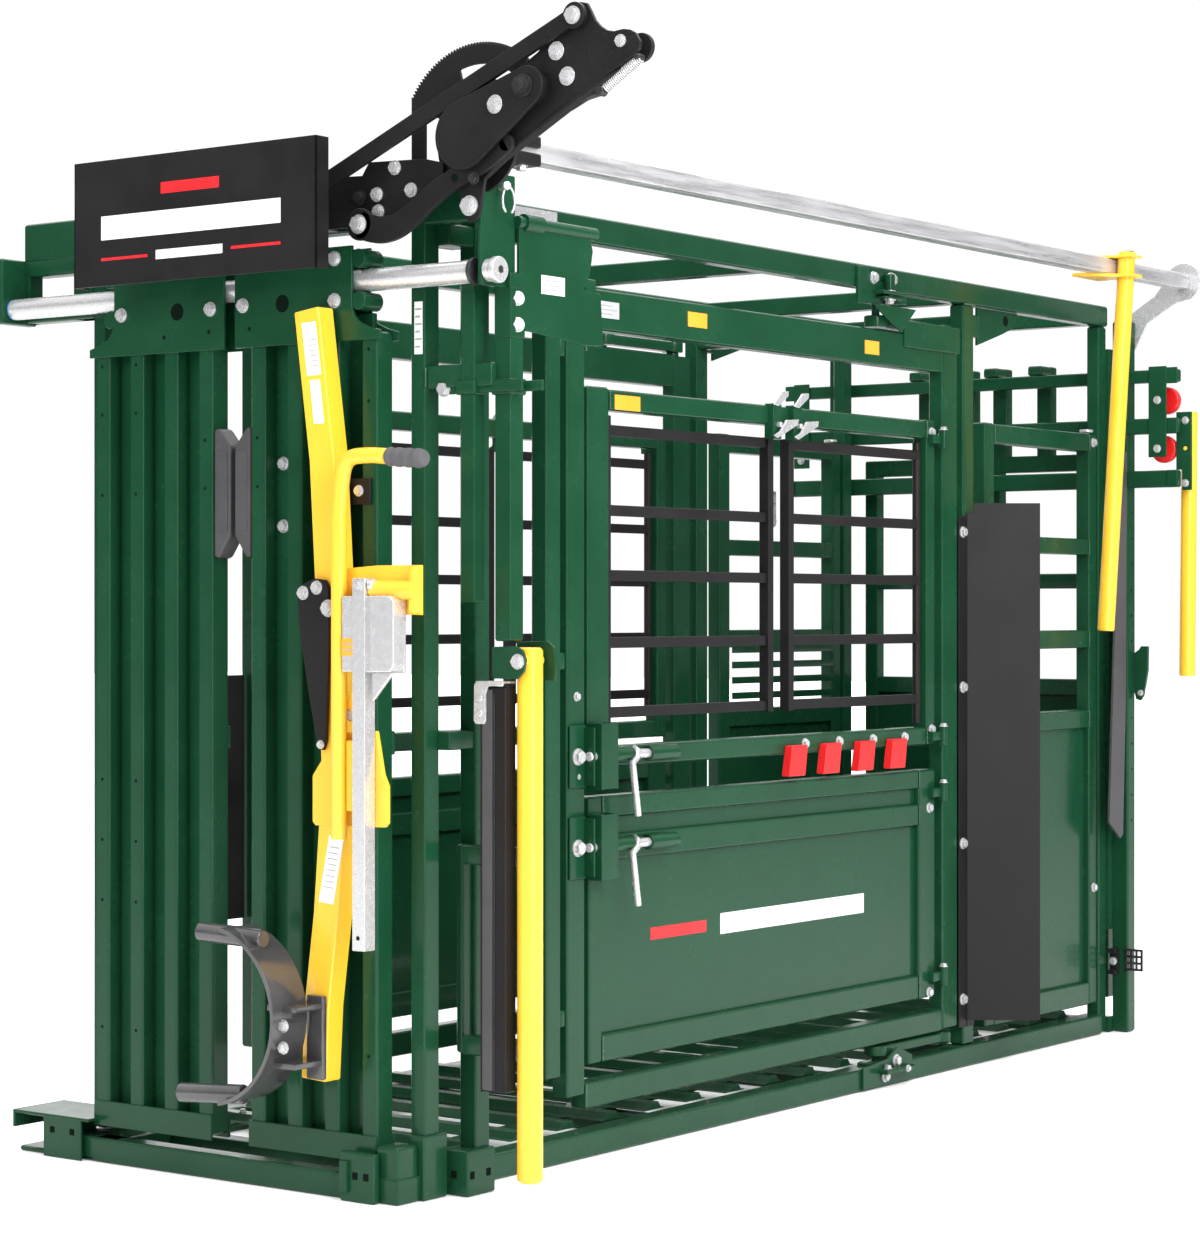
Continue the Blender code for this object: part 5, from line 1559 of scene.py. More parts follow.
    @staticmethod
    def _drop(ax: float, az: float, ra: float, bx: float, bz: float, rb: float) -> list[Flat]:
        """Outline of a teardrop round two circles.

        Args:
            ax: first coordinate of one centre.
            az: its second coordinate.
            ra: its radius.
            bx: first coordinate of the other centre.
            bz: its second coordinate.
            rb: its radius.

        Returns:
            The outline.
        """
        turn = math.degrees(math.atan2(bz - az, bx - ax))
        lean = math.degrees(math.acos((ra - rb) / math.hypot(bx - ax, bz - az)))
        return arc(ax, az, ra, turn + lean, turn + 360 - lean, 26) + arc(bx, bz, rb, turn - lean, turn + lean, 16)

    def _arms(self) -> None:
        """Makes the link bar, the curved arm, the pawl and the pawl's spring."""
        a, b = (0.95, 2.41), (-0.06, 1.985)
        mid = slab(((a[0] + b[0]) / 2, -1.822, (a[1] + b[1]) / 2), ((a[0] - b[0]) / 2, 0, (a[1] - b[1]) / 2),
            (-0.0068, 0, 0.0161), 0.012)
        self.kit.piece("link_strap", [mid, disc(Axis.Y, (a[0], -1.822, a[1]), 0.0268, 0.0118, 36),
            disc(Axis.Y, (b[0], -1.822, b[1]), 0.0268, 0.0118, 36)], "link_bar", Coat.BLACK, 0.0012, "link_bar")
        self.kit.bolt("link_bar", (0.95, -1.828, 2.41), FRONT, 1.35)
        self.kit.bolt("link_bar", (-0.06, -1.828, 1.985), FRONT, 1.2)
        route = bend([(0.393, 0, 2.038), (0.44, 0, 2.021), (0.49, 0, 2.024), (0.54, 0, 2.05), (0.585, 0, 2.082),
            (0.635, 0, 2.109), (0.69, 0, 2.126), (0.745, 0, 2.15), (0.78, 0, 2.172)], 0.05, 4)
        outline = ribbon([(p[0], p[2]) for p in route], 0.029, 0.018)
        self.kit.piece("curved_arm_plate",
            [plate(outline, Axis.Y, -1.8278, -1.8162), disc(Axis.Y, (0.393, -1.822, 2.038), 0.0338, 0.0116, 36),
            disc(Axis.Y, (0.78, -1.822, 2.172), 0.018, 0.0116, 30)], "curved_arm", Coat.BLACK, 0.0012, "curved_arm")
        self.kit.bolt("curved_arm", (0.393, -1.828, 2.038), FRONT, 1.5)
        self.kit.add("curved_arm", Coat.HOLE, [disc(Axis.Y, (0.649, -1.828, 2.113), 0.0085, 0.001)], False)
        self.kit.piece("pawl_plate", [slab((0.9735, -1.771, 2.2895), (0.1005, 0, 0.0555), (-0.0066, 0, 0.012), 0.012),
            disc(Axis.Y, (1.076, -1.771, 2.34), 0.029, 0.0118, 36)], "pawl", Coat.BLACK, 0.0012, "pawl")
        spring = Spring((1.094, -1.8, 2.314), (1.008, -1.8, 2.262), 0.0085, 0.0019, 22)
        spring.build(self.kit, "pawl_spring", "control_shaft", Coat.PLATED)
        self.kit.add("control_shaft", Coat.DARK, [rod((1.0, -1.79, 2.258), (1.0, -1.812, 2.258), 0.01, 16),
            rod((1.092, -1.79, 2.316), (1.092, -1.812, 2.316), 0.007, 14),
            tube([(1.0, -1.8, 2.256), (0.965, -1.8, 2.25), (0.925, -1.803, 2.232)], 0.007, 12)])


@dataclass
class HeadHolder:
    """Swinging head holder: arm, handle, friction lock, lock bar and chin bar."""

    kit: Kit
    y: float = -1.837
    handle_y: float = -1.885

    def build(self) -> None:
        """Makes the head holder."""
        self._arm()
        self._handle()
        self._lock()
        self._chin()

    def _arm(self) -> None:
        """Makes the swinging arm with its plates, link and labels."""
        path = [(0.275, 1.865), (0.318, 1.55), (0.345, 1.1), (0.352, 0.88), (0.33, 0.6), (0.305, 0.41), (0.296, 0.25)]
        outline = ribbon(path, 0.034, 0.034)
        arm = [plate(outline, Axis.Y, self.y - 0.025, self.y + 0.025)]
        cuts = [plate([(0.35, 1.228), (0.588, 1.224), (0.588, 1.326), (0.47, 1.326), (0.35, 1.318)], Axis.Y, -1.862,
            -1.853)]
        cuts.append(plate([(0.296, 0.888), (0.322, 0.922), (0.345, 0.978), (0.47, 0.985), (0.488, 0.896),
            (0.5, 0.872), (0.5, 0.796), (0.492, 0.787), (0.304, 0.784), (0.296, 0.792)], Axis.Y, -1.864, -1.853))
        self.kit.piece("holder_arm_tube", arm, "head_holder", Coat.YELLOW, 0.0045, "holder_arm", 3)
        self.kit.piece("holder_plates", cuts, "head_holder", Coat.YELLOW, 0.0015)
        self.kit.add("head_holder", Coat.YELLOW, [bar(0.566, 0.59, -1.88, -1.851, 1.226, 1.324, 0.006),
            rod((0.47, -1.872, 1.275), (0.585, -1.872, 1.275), 0.02, 24),
            bar(0.4055, 0.431, -1.885, -1.86, 0.818, 0.965, 0.003)])
        face = self.y - 0.0252
        stickers = [slab((0.2915, face, 1.7815), (-0.008, 0, 0.056), (0.0195, 0, 0.001), 0.0008),
            slab((0.307, face, 1.67), (-0.006, 0, 0.046), (0.014, 0, 0), 0.0008),
            slab((0.347, face, 0.693), (0.0145, 0, 0.07), (0.02, 0, -0.002), 0.0008)]
        self.kit.add("head_holder", Coat.WHITE, stickers, False)
        lines = [slab((0.2945 + 0.0012 * i, face - 0.0005, 1.8 - 0.011 * i), (0.01, 0, 0.0005), (0, 0, 0.001),
            0.0006) for i in range(6)]
        lines += [slab((0.356 - 0.0024 * i, face - 0.0005, 0.74 - 0.012 * i), (0.0125, 0, -0.0012), (0, 0, 0.0011),
            0.0006) for i in range(8)]
        self.kit.add("head_holder", Coat.GREY, lines, False)
        link = [(0.264, 1.262), (0.27, 1.285), (0.31, 1.3), (0.34, 1.297), (0.35, 1.28), (0.352, 1.18), (0.342, 0.96),
            (0.335, 0.942), (0.322, 0.945), (0.3, 1.04), (0.272, 1.18)]
        self.kit.piece("lock_link", [plate(link, Axis.Y, -1.876, -1.866)], "head_holder", Coat.BLACK, 0.0015)
        for x, z in ((0.282, 1.27), (0.32, 1.281)):
            self.kit.bolt("head_holder", (x, -1.876, z), FRONT, 1.1)
        self.kit.bolt("head_holder", (0.352, -1.876, 1.238), FRONT, 1.35)
        self.kit.bolt("head_holder", (0.33, -1.876, 0.954), FRONT, 0.7)
        self.kit.bolt("head_holder", (0.404, -1.864, 1.018), FRONT, 1.1)
        self.kit.bolt("head_holder", (0.416, -1.864, 0.936), FRONT, 0.7)

    def _handle(self) -> None:
        """Makes the bent handle and its grip."""
        route = bend([(0.388, self.handle_y, 0.76), (0.388, self.handle_y, 1.455), (0.405, self.handle_y, 1.55),
            (0.475, self.handle_y, 1.553), (0.535, self.handle_y, 1.547)], 0.06, 8)
        shells = [tube(route, 0.0165, 28)]
        self.kit.members("holder_handle_tube", shells, "head_holder", Coat.YELLOW, "holder_handle")
        path = []
        radii = []
        for i in range(25):
            t = i / 24
            path.append((0.52 + 0.1 * t, self.handle_y, 1.548 - 0.007 * t))
            end = 0.72 if i in (0, 24) else (0.93 if i in (1, 23) else 1.0)
            radii.append((0.0195 + 0.0011 * math.sin(t * 4 * 2 * math.pi)) * end)
        self.kit.add("head_holder", Coat.GRIP, [tube(path, radii, 24)])

    def _lock(self) -> None:
        """Makes the friction lock and the lock bar."""
        housing = [bar(0.406, 0.5, -1.8985, -1.8905, 1.107, 1.263, 0.003),
            bar(0.406, 0.552, -1.874, -1.864, 1.106, 1.2635, 0.002),
            bar(0.472, 0.48, -1.895, -1.866, 1.107, 1.262, 0.002),
            bar(0.407, 0.415, -1.895, -1.866, 1.107, 1.262, 0.002)]
        case = [(0.488, 1.107), (0.54, 1.107), (0.552, 1.12), (0.552, 1.252), (0.54, 1.2635), (0.488, 1.2635)]
        foot = [(0.488, 1.107), (0.546, 1.107), (0.496, 1.052), (0.488, 1.046)]
        self.kit.members("lock_housing_shell", housing, "head_holder", Coat.PLATED, "lock_housing")
        self.kit.piece("lock_box", [plate(case, Axis.Y, -1.906, -1.87), plate(foot, Axis.Y, -1.898, -1.89)],
            "head_holder", Coat.PLATED, 0.003)
        self.kit.label("head_holder", Face.FRONT, -1.8985, (0.4075, 0.448), (1.14, 1.176), Coat.ORANGE, 2)
        for z in (1.222, 1.2, 1.178):
            self.kit.add("head_holder", Coat.HOLE, [box(0.454, 0.462, -1.8992, -1.8983, z, z + 0.005)], False)
        strip = [bar(0.4355, 0.47, -1.9, -1.865, 0.533, 1.3, 0.002)]
        self.kit.members("lock_bar_strip", strip, "lock_bar", Coat.PLATED, "lock_bar")
        self.kit.bolt("lock_bar", (0.4525, -1.9, 1.284), FRONT, 0.9)
        self.kit.hole("lock_bar", (0.4525, -1.9, 0.56), FRONT, 0.8)
        self.kit.add("head_holder", Coat.YELLOW, [disc(Axis.Y, (0.425, -1.868, 1.04), 0.026, 0.01)])
        self.kit.add("head_holder", Coat.PLATED, [disc(Axis.X, (0.478, -1.883, 1.285), 0.014, 0.012, 6)])

    def _chin(self) -> None:
        """Makes the chin bar."""
        curve = arc(0.11, 0.385, 0.19, 78, -80, 30) + arc(0.11, 0.385, 0.181, -80, 78, 30)
        shells = [plate(curve, Axis.Y, -1.99, -1.885)]
        self.kit.piece("chin_arc", shells, "head_holder", Coat.GLOSS, 0.0015, "chin_bar")
        bars = [rod((0.05, -1.945, 0.5535), (0.235, -1.945, 0.548), 0.021, 32, 0.006),
            rod((-0.006, -1.945, 0.2078), (0.18, -1.945, 0.22), 0.021, 32, 0.006),
            bar(0.255, 0.335, -1.96, -1.8625, 0.285, 0.297, 0.001),
            bar(0.255, 0.335, -1.96, -1.8625, 0.403, 0.415, 0.001),
            bar(0.29, 0.336, -1.878, -1.8625, 0.255, 0.43, 0.003)]
        self.kit.members("chin_bars", bars, "head_holder", Coat.GLOSS)
        for t, y in ((20.0, -1.96), (-2.0, -1.93), (-22.0, -1.96)):
            c, s = math.cos(math.radians(t)), math.sin(math.radians(t))
            self.kit.bolt("head_holder", (0.11 + 0.181 * c, y, 0.385 + 0.181 * s), (-c, 0, -s), 1.0)
        for z in (0.33, 0.375):
            self.kit.bolt("head_holder", (0.305, -1.9625, z), FRONT, 1.0)


@dataclass
class SqueezeSide:
    """One squeeze side: arms, panel frame, doors, windows, latches and catches."""

    kit: Kit
    side: str
    sign: int
    side_in: float = 0.415
    side_out: float = 0.46
    arm_y: float = 0.17
    arm_long: float = 0.33
    hinge: Flat = (0.478, 0.452)

    def _put(self, name: str, shells: list[Shell], body: str, node: str, coat: Coat = Coat.GREEN) -> None:
        """Makes a piece on this side of the chute.

        Args:
            name: name of the piece.
            shells: its shells on the operator's side.
            body: the body it rides on.
            node: CAD node it stands for.
            coat: its finish.
        """
        if self.sign < 0:
            shells = mirrored(shells)
        made = self.kit.members(name, shells, body, coat, node)

    def _bolt(self, body: str, at: Point, way: Point, size: float = 1.0) -> None:
        """Adds a bolt on this side."""
        self.kit.bolt(body, (self.sign * at[0], at[1], at[2]), (self.sign * way[0], way[1], way[2]), size)

    def build(self) -> None:
        """Makes the whole side."""
        self._arms()
        self._panel()
        self._upper_door()
        self._lower_door()
        for which, hinge_y, far_y in (("front", -1.016, -0.335), ("rear", 0.379, -0.267)):
            self._window(which, hinge_y, far_y)

    def _arms(self) -> None:
        """Makes the upper and lower swing arms."""
        x = 0.4375
        end = self.arm_y + self.arm_long
        for where, z0, z1 in (("upper", 1.9705, 2.0), ("lower", 0.078, 0.104)):
            shells = [bar(x - 0.02, x + 0.02, self.arm_y, end, z0 + 0.001, z1 - 0.001, 0.003),
                rod((x, self.arm_y, z0), (x, self.arm_y, z1), 0.03, 28), rod((x, end, z0), (x, end, z1), 0.03, 28)]
            self._put(f"arm_{where}_{self.side}_bar", shells, f"squeeze_arm_{self.side}",
                f"squeeze_arm_{where}_{self.side}")

    def _panel(self) -> None:
        """Makes the squeeze panel with its labels."""
        a, b = self.side_in, self.side_out
        x = 0.4375
        shells = [bar(a, b, -1.195, -1.125, 0.14, 1.963, 0.006), bar(a, b, -1.272, -1.215, 0.19, 1.9, 0.006),
            bar(a, b, -1.126, 0.479, 1.87, 1.963, 0.006), bar(a, b, -1.126, 0.479, 0.108, 0.168, 0.006),
            bar(a, b, 0.478, 0.56, 0.112, 1.96, 0.006), bar(a + 0.004, b - 0.004, -1.216, -1.194, 0.3, 0.34),
            bar(a + 0.004, b - 0.004, -1.216, -1.194, 1.1, 1.14),
            bar(a + 0.004, b - 0.004, -1.216, -1.194, 1.8, 1.84), rod((x, 0.5, 1.95), (x, 0.5, 1.97), 0.018, 24)]
        body = f"squeeze_side_{self.side}"
        self._put(f"panel_{self.side}_members", shells, body, f"squeeze_panel_{self.side}")
        if self.sign > 0:
            self.kit.label(body, Face.OPERATOR, b, (-0.72, -0.64), (1.905, 1.94), Coat.ORANGE)
            self.kit.label(body, Face.OPERATOR, b, (0.08, 0.15), (1.895, 1.93), Coat.ORANGE)
            self.kit.label(body, Face.OPERATOR, b, (-1.093, -0.997), (1.899, 1.937), Coat.SILVER, 3)
            self.kit.add(body, Coat.GREEN, [bar(b - 0.004, b + 0.008, 0.272, 0.56, 1.925, 1.995, 0.003)])
            self._bolt(body, (b, 0.467, 1.694), OUTWARD, 1.1)
        for z in (0.88, 0.7):
            self._bolt(body, (b, -1.16, z + 0.16), OUTWARD, 0.8)

    def _knuckle(self, z: float) -> list[Shell]:
        """Returns the hinge knuckle of a side door at a height."""
        x, y = self.hinge
        return [rod((x, y, z - 0.025), (x, y, z + 0.025), 0.0125, 20),
            bar(0.448, x, 0.4, y, z - 0.012, z + 0.012, 0.002)]

    def _upper_door(self) -> None:
        """Makes the upper door with the windows' catches."""
        a, b = self.side_in, self.side_out
        body = f"upper_door_{self.side}"
        shells = [bar(a, b, -1.117, -1.032, 0.877, 1.742, 0.006), bar(a, b, 0.395, 0.44, 0.877, 1.742, 0.006),
            bar(a, b, -1.033, 0.396, 1.69, 1.738, 0.006),
            bar(a, b, -1.033, 0.396, 0.877, 0.925, 0.006)] + self._knuckle(1.69) + self._knuckle(0.9)
        self._put(f"{body}_members", shells, body, body)
        for z in (1.69, 0.9):
            self._bolt(body, (b, 0.418, z + 0.018), OUTWARD, 1.0)
            self._bolt(body, (self.hinge[0], self.hinge[1], z + 0.025), UP, 0.9)
        for name, y in (("front", -0.355), ("rear", -0.262)):
            self._put(f"window_catch_{self.side}_{name}",
                [bar(0.448, 0.477, y - 0.02, y + 0.018, 1.655, 1.742, 0.003)], body, "")
            wings = [plate([(y - 0.026, 1.738), (y - 0.004, 1.735), (y + 0.04, 1.762), (y + 0.04, 1.774),
                (y + 0.012, 1.772)], Axis.X, 0.4775, 0.4825),
                plate([(y - 0.036, 1.662), (y - 0.018, 1.656), (y + 0.07, 1.692), (y + 0.076, 1.706),
                (y + 0.02, 1.702), (y - 0.01, 1.672)], Axis.X, 0.484, 0.49)]
            pin_rod = [rod((0.47, y, 1.69), (0.488, y, 1.69), 0.007, 14)]
            if self.sign < 0:
                wings, pin_rod = mirrored(wings), mirrored(pin_rod)
            self.kit.piece(f"window_wing_{self.side}_{name}", wings, body, Coat.PLATED, 0.0015)
            self.kit.add(body, Coat.PLATED, pin_rod)
        if self.sign > 0:
            self.kit.label(body, Face.OPERATOR, b, (-1.014, -0.914), (1.693, 1.727), Coat.ORANGE)
            for i, y in enumerate((-0.27, -0.11, 0.055, 0.214)):
                self._bolt(body, (b, y + 0.062, 0.902), OUTWARD, 1.0)
                outline = [(y - 0.045, 0.824), (y + 0.03, 0.824), (y + 0.042, 0.9), (y - 0.03, 0.9)]
                piece = [plate(outline, Axis.X, b + 0.0003, b + 0.024)]
                self.kit.piece(f"catch_{i + 1}_block", piece, body, Coat.RED, 0.003, f"door_catch_{i + 1}")
            self._latch("upper", 0.905, body)

    def _lower_door(self) -> None:
        """Makes the lower door."""
        a, b = self.side_in, self.side_out
        body = f"lower_door_{self.side}"
        shells = [bar(a, b, -1.112, -1.06, 0.206, 0.812, 0.006), bar(a, b, 0.355, 0.44, 0.206, 0.812, 0.006),
            bar(a, b, -1.061, 0.356, 0.762, 0.812, 0.006), bar(a, b, -1.061, 0.356, 0.664, 0.723, 0.006),
            bar(a, b, -1.061, 0.356, 0.206, 0.27, 0.006),
            bar(0.436, 0.444, -1.061, 0.356, 0.26, 0.77, 0.001)] + self._knuckle(0.75) + self._knuckle(0.26)
        self._put(f"{body}_members", shells, body, body)
        for z in (0.75, 0.26):
            self._bolt(body, (b, 0.405, z - 0.04), OUTWARD, 1.0)
            self._bolt(body, (self.hinge[0], self.hinge[1], z + 0.025), UP, 0.9)
        if self.sign > 0:
            self.kit.label(body, Face.OPERATOR, 0.444, (-0.56, 0.1), (0.455, 0.505))
            self.kit.label(body, Face.OPERATOR, 0.444, (-0.85, -0.62), (0.466, 0.494), Coat.MARK)
            self._latch("lower", 0.7, body)

    def _latch(self, name: str, z: float, body: str) -> None:
        """Makes a latch block with its barrel, and the spring pin with its handle.

        Args:
            name: which latch.
            z: its height.
            body: the door that carries it.
        """
        x = self.side_out + 0.0003
        block = [bar(x, x + 0.006, -1.11, -1.06, z - 0.075, z + 0.075, 0.002),
            bar(x + 0.004, x + 0.045, -1.125, -1.117, z - 0.075, z + 0.075, 0.002),
            bar(x + 0.004, x + 0.045, -1.068, -1.06, z - 0.075, z + 0.075, 0.002),
            bar(x + 0.038, x + 0.0448, -1.119, -1.066, z - 0.074, z + 0.074, 0.002)]
        self._put(f"latch_{name}_keeper", [bar(x, x + 0.007, -1.192, -1.132, z - 0.07, z + 0.07, 0.002),
            bar(x + 0.006, x + 0.034, -1.14, -1.132, z - 0.066, z + 0.066, 0.002)], f"squeeze_side_{self.side}", "")
        self._bolt(f"squeeze_side_{self.side}", (x + 0.007, -1.166, z), OUTWARD, 1.45)
        self._put(f"latch_{name}_block", block, body, f"latch_block_{name}")
        self._put(f"latch_{name}_barrel", [ring(Axis.Y, (x + 0.022, -1.022, z), 0.0185, 0.0118, 0.072, 24),
            ring(Axis.Y, (x + 0.022, -0.86, z), 0.018, 0.0118, 0.11, 24),
            bar(x - 0.001, x + 0.006, -1.03, -0.8, z - 0.012, z + 0.012, 0.002)], body, "")
        pin = f"latch_pin_{name}"
        shells = [rod((x + 0.022, -1.145, z), (x + 0.022, -0.905, z), 0.011, 20, 0.003),
            tube([(x + 0.02, -0.965, z + 0.016), (x + 0.034, -0.972, z + 0.008), (x + 0.042, -0.985, z - 0.008),
            (x + 0.044, -1.006, z - 0.018), (x + 0.044, -0.984, z - 0.14)], [0.006, 0.007, 0.0075, 0.0085, 0.0085],
            14)]
        self._put(f"{pin}_rod", shells, pin, pin, Coat.PLATED)

    def _window(self, which: str, hinge_y: float, far_y: float) -> None:
        """Makes a barred window gate.

        Args:
            which: which window of the side.
            hinge_y: where its hinge is.
            far_y: where its other edge is.
        """
        x = 0.4375
        way = 1 if far_y > hinge_y else -1
        far = far_y - way * 0.0125
        shells = [rod((x, hinge_y, 0.935), (x, hinge_y, 1.68), 0.011, 20),
            bar(x - 0.014, x + 0.014, far - 0.0125, far + 0.0125, 0.985, 1.66, 0.002)]
        for z in (1.646, 1.463, 1.314, 1.16, 1.0):
            lo, hi = sorted((hinge_y, far))
            shells.append(bar(x - 0.009, x + 0.009, lo, hi, z - 0.0125, z + 0.0125, 0.002))
        body = f"window_{which}_{self.side}"
        self._put(f"{body}_bars", shells, body, body, Coat.BLACK)


@dataclass
class Palpation:
    """Palpation doors and the wing plate."""

    kit: Kit
    hinge_y: float = 1.38

    def build(self) -> None:
        """Makes the doors and plates."""
        for side, sign in (("right", 1), ("left", -1)):
            a, b = 0.415, 0.46
            pin_x = a - 0.012 if sign > 0 else b + 0.018
            shells = [bar(a, b, 0.709, 0.765, 0.092, 1.75, 0.006), bar(a, b, 1.325, 1.375, 0.092, 1.75, 0.006),
                bar(a + 0.018, b - 0.018, 0.76, 1.33, 0.12, 0.93, 0.001)]
            for z0, z1 in ((1.695, 1.747), (1.395, 1.442), (1.126, 1.178), (0.894, 0.947), (0.092, 0.157)):
                shells.append(bar(a, b, 0.764, 1.326, z0, z1, 0.004))
            for z in (1.6, 0.4):
                shells.append(rod((pin_x, self.hinge_y, z - 0.025), (pin_x, self.hinge_y, z + 0.025), 0.011, 20))
                reach = sorted((pin_x, a + 0.012 if sign > 0 else b - 0.012))
                shells.append(bar(reach[0], reach[1], 1.345, self.hinge_y, z - 0.012, z + 0.012, 0.002))
            if sign < 0:
                shells = mirrored(shells)
            body = f"palpation_door_{side}"
            self.kit.members(f"{body}_members", shells, body, Coat.GREEN, body)
            self.kit.bolt(body, (sign * b, 1.35, 1.722), (sign, 0, 0), 1.0)
            self.kit.bolt(body, (sign * b, 1.35, 0.43), (sign, 0, 0), 1.0)
            cap = [disc(Axis.Z, (0.4375, 1.35, 1.756), 0.02, 0.008)]
            self.kit.add(body, Coat.PLATED, cap if sign > 0 else mirrored(cap))
        rim = [(0.466, 0.6), (0.465 + 0.16, 0.6 + 0.118), (0.4614 + 0.16, 0.605 + 0.118), (0.4624, 0.605)]
        shells = [plate(rim, Axis.Z, 0.125, 1.5), bar(0.4603, 0.466, 0.6, 0.64, 0.108, 1.49, 0.001)]
        top = [(0.48, 0.6105), (0.465 + 0.16, 0.6 + 0.118), (0.4614 + 0.16, 0.605 + 0.118), (0.477, 0.6155)]
        shells.append(plate(top, Axis.Z, 1.499, 1.525))
        self.kit.piece("wing_sheet", shells, "frame", Coat.BLACK, 0.0008, "wing_plate")
        self.kit.add("frame", Coat.BLACK, [bar(0.4603, 0.4645, 0.56, 0.604, 0.108, 1.49, 0.001)])
        for z in (1.446, 1.027, 0.605, 0.184):
            self.kit.bolt("frame", (0.4645, 0.578, z), OUTWARD, 1.15)


@dataclass
class FarWall:
    """What is seen of the far wall: its slotted plate, drop handle and the flap behind the head gate."""

    kit: Kit
    slots: int = 4
    pitch: float = 0.045

    def build(self) -> None:
        """Makes the far wall's fittings."""
        z = 0.975
        strips = []
        for _ in range(self.slots):
            strips.append(bar(-0.4145, -0.4105, 0.77, 1.322, z, z + 0.02, 0.001))
            z += self.pitch
        self.kit.add("palpation_door_left", Coat.GREEN, strips)
        self.kit.add("frame", Coat.BLACK, [bar(-0.447, -0.44, -1.42, -1.278, 0.5, 1.08, 0.002)])
        self.kit.add("palpation_door_left", Coat.GALVANISED, [bar(-0.4135, -0.408, 0.96, 1.0, 1.49, 1.59, 0.002),
            disc(Axis.X, (-0.4085, 0.98, 1.5), 0.018, 0.006)])


@dataclass
class Seams:
    """Weld beads at the joints that are in view."""

    kit: Kit
    x: float = 0.4603

    def _upright(self, body: str, ys: Flat, spans: tuple[Flat, ...]) -> None:
        """Lays upright beads on the operator's face, at each Y and over each span of Z."""
        for z0, z1 in spans:
            for y in ys:
                self.kit.weld(body, (self.x, y, z0), (self.x, y, z1))

    def build(self) -> None:
        """Lays the beads."""
        self.kit.weld("squeeze_side_right", (self.x, -1.1245, 1.87 - 0.05), (self.x, -1.1245, 1.87 + 0.085))
        self.kit.weld("squeeze_side_right", (self.x, -1.1245, 0.168 - 0.055), (self.x, -1.1245, 0.168 - 0.002))
        for y in (-1.0325, 0.3955):
            for z0, z1 in ((0.88, 0.922), (1.693, 1.735)):
                self.kit.weld("upper_door_right", (self.x, y, z0), (self.x, y, z1))
        self._upright("lower_door_right", (-1.0605, 0.3555), ((0.766, 0.808), (0.668, 0.719), (0.21, 0.266)))
        spans = ((1.699, 1.743), (1.399, 1.438), (1.13, 1.174), (0.898, 0.943))
        self._upright("palpation_door_right", (0.7645, 1.3255), spans)
        self.kit.weld("frame", (self.x, 0.592, 2.0648), (self.x, 0.648, 2.0648))
        self.kit.weld("frame", (0.492, -1.7302, 1.699), (0.492, -1.7302, 1.741))


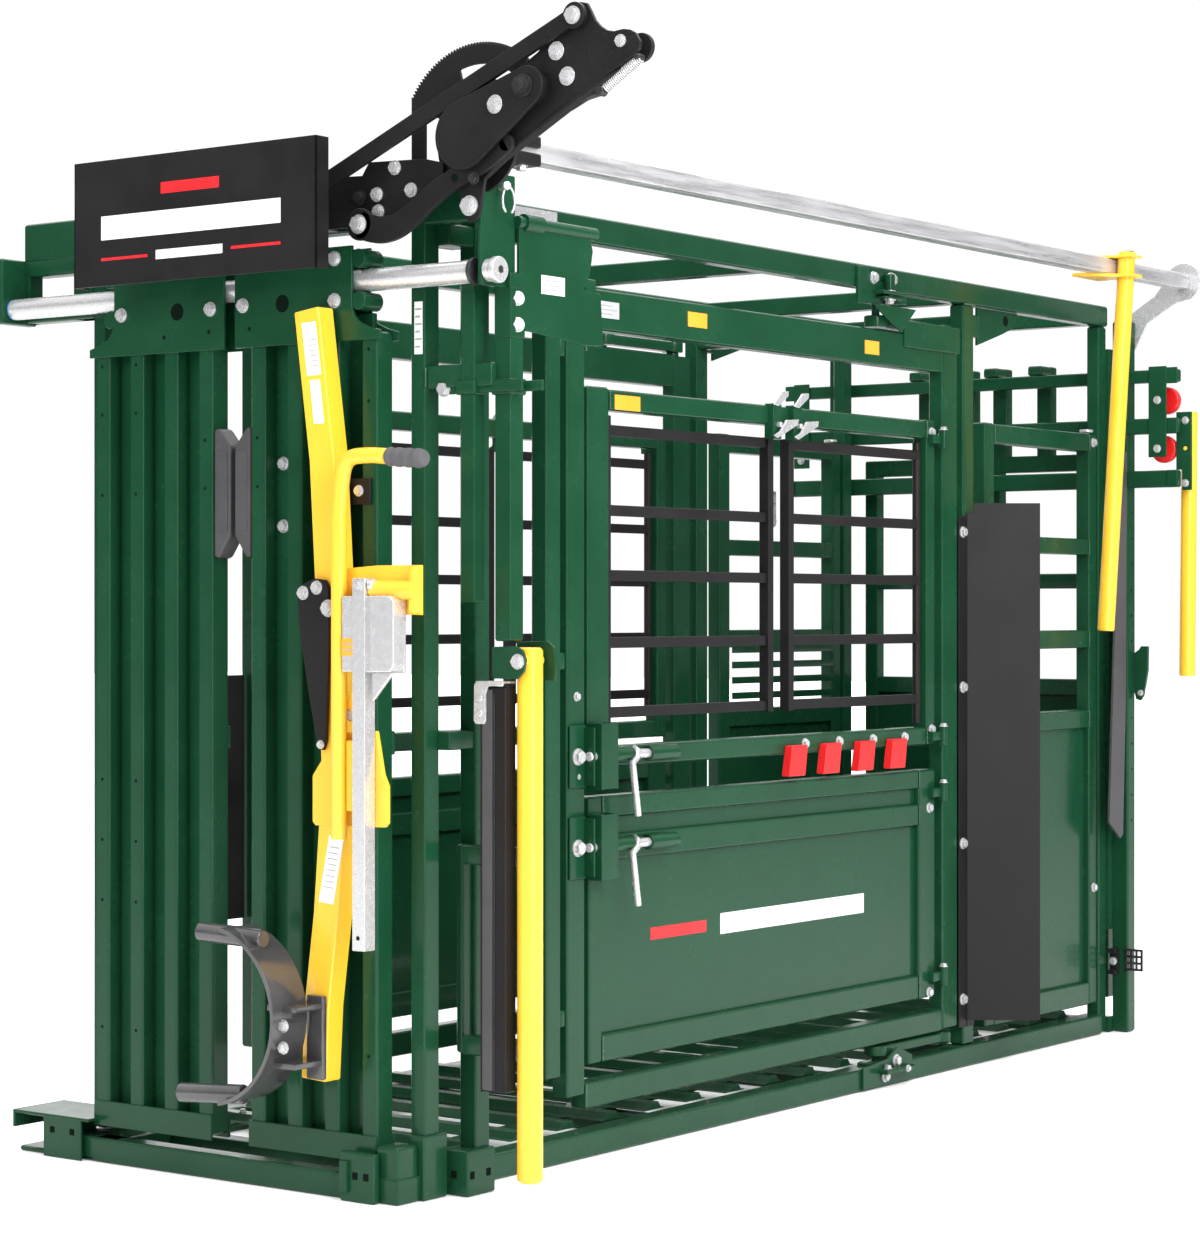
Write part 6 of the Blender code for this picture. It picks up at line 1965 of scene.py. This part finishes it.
# ---- studio ---------------------------------------------------------------------------------
@dataclass
class Studio:
    """Floor, light and camera."""

    eye: Point = (4.582, -6.682, 1.23)
    turn_deg: float = 36.3
    lens: float = 89.5
    shift_y: float = -0.004
    floor_half: float = 40.0
    floor_z: float = -0.001

    def build(self) -> None:
        """Makes the floor, the lights, the world and the camera."""
        scene = bpy.context.scene
        scene.view_settings.view_transform = "Standard"
        scene.view_settings.look = "None"
        cam = bpy.data.cameras.new("view")
        cam.lens = self.lens
        cam.sensor_width = 36.0
        cam.sensor_fit = "AUTO"
        cam.shift_y = self.shift_y
        cam.clip_end = 100.0
        eye = bpy.data.objects.new("view", cam)
        eye.location = self.eye
        eye.rotation_euler = (math.radians(90.0), 0.0, math.radians(self.turn_deg))
        scene.collection.objects.link(eye)
        scene.camera = eye
        self._floor()
        self._world(scene)
        self._area("key", (5.2, -2.6, 4.4), (0.0, -0.4, 1.1), (3.5, 3.0), 310.0)
        self._area("front", (-1.2, -6.8, 3.6), (0.0, -1.0, 1.1), (3.0, 2.5), 130.0, False)
        self._area("side", (5.6, 3.2, 3.2), (0.4, 0.4, 1.2), (3.0, 2.0), 45.0, False)
        self._area("edge", (6.0, -4.3, 1.9), (0.3, -0.6, 1.2), (1.1, 3.6), 110.0)
        self._area("top", (0.0, 0.0, 5.5), (0.0, 0.0, 0.0), (5.0, 5.0), 220.0)

    @staticmethod
    def _seen_or_lit(wires: Wires, seen: object, lit: object) -> bpy.types.NodeSocket:
        """Returns one strength for what is seen directly and another for the light it gives."""
        direct = wires.node("ShaderNodeLightPath").outputs["Is Camera Ray"]
        return wires.node("ShaderNodeMix", {0: direct, 2: lit, 3: seen}, data_type="FLOAT").outputs[0]

    def _floor(self) -> None:
        """Makes the pale floor, which fades to white away from the chute."""
        s = self.floor_half
        data = bpy.data.meshes.new("floor")
        data.from_pydata([(x, y, self.floor_z) for x, y in ((-s, -s), (s, -s), (s, s), (-s, s))], [], [(0, 1, 2, 3)])
        floor = link_object("floor", data)
        mat = bpy.data.materials.new("pale_floor")
        mat.use_nodes = True
        wires = Wires(mat.node_tree)
        coord = wires.node("ShaderNodeTexCoord").outputs["Object"]
        away = wires.node("ShaderNodeVectorMath", {0: coord}, operation="LENGTH").outputs["Value"]
        fade = wires.spread(away, {"From Min": 1.5, "From Max": 6.0, "To Min": 0.22, "To Max": 1.0})
        wires.feed(mat.node_tree.nodes["Principled BSDF"], {"Base Color": (0.92, 0.92, 0.92, 1.0), "Roughness": 0.8,
            "Specular IOR Level": 0.1, "Emission Color": (1.0, 1.0, 1.0, 1.0),
            "Emission Strength": self._seen_or_lit(wires, fade, 0.06)})
        data.materials.append(mat)

    def _world(self, scene: bpy.types.Scene) -> None:
        """Makes a sky that is white overhead, grey at the horizon and plain white behind the chute.

        Args:
            scene: the scene it belongs to.
        """
        world = bpy.data.worlds.new("studio")
        scene.world = world
        world.use_nodes = True
        wires = Wires(world.node_tree)
        ray = wires.node("ShaderNodeTexCoord").outputs["Generated"]
        height = wires.node("ShaderNodeSeparateXYZ", {0: ray}).outputs["Z"]
        sky = wires.spread(height, {"From Min": 0.02, "From Max": 0.75, "To Min": 0.16, "To Max": 1.1}, smooth=True)
        side = wires.node("ShaderNodeVectorMath", {0: ray, 1: (-0.8, 0.6, 0.0)}, operation="DOT_PRODUCT").outputs[
            "Value"]
        glow = wires.spread(side, {"From Min": 0.55, "From Max": 0.95, "To Min": 0.0, "To Max": 1.1}, smooth=True)
        strength = self._seen_or_lit(wires, 1.05, wires.math("ADD", sky, glow))
        wires.feed(world.node_tree.nodes["Background"], {"Strength": strength, "Color": (1.0, 1.0, 1.0, 1.0)})

    @staticmethod
    def _area(name: str, at: Point, to: Point, size: Flat, power: float, reflected: bool = True) -> None:
        """Hangs a rectangular soft light.

        Args:
            name: name of the light.
            at: where it hangs.
            to: where it points.
            size: its two sides.
            power: its power in watts.
            mirrored: whether it is seen in reflections.
        """
        data = bpy.data.lights.new(name, "AREA")
        data.shape = "RECTANGLE"
        data.size, data.size_y = size
        data.energy = power
        obj = bpy.data.objects.new(name, data)
        obj.location = at
        obj.rotation_euler = (Vector(to) - Vector(at)).to_track_quat("-Z", "Y").to_euler()
        obj.visible_glossy = reflected
        bpy.context.scene.collection.objects.link(obj)


def main() -> None:
    """Builds every sub-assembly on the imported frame, then the studio."""
    logging.basicConfig(level=logging.INFO, format="%(message)s")
    for obj in list(bpy.data.objects):
        bpy.data.objects.remove(obj, do_unlink=True)
    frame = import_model()
    kit = Kit(frame, Finishes())
    for part in (Base(kit), Roof(kit), RearEnd(kit), HeadGateFrame(kit), HeadGate(kit), Sign(kit), Linkage(kit),
            HeadHolder(kit), SqueezeSide(kit, "right", 1), SqueezeSide(kit, "left", -1), Palpation(kit), FarWall(kit),
            Seams(kit), kit, Studio()):
        LOG.info("building %s", type(part).__name__)
        part.build()
    bpy.context.view_layer.update()


if __name__ == "__main__":
    main()
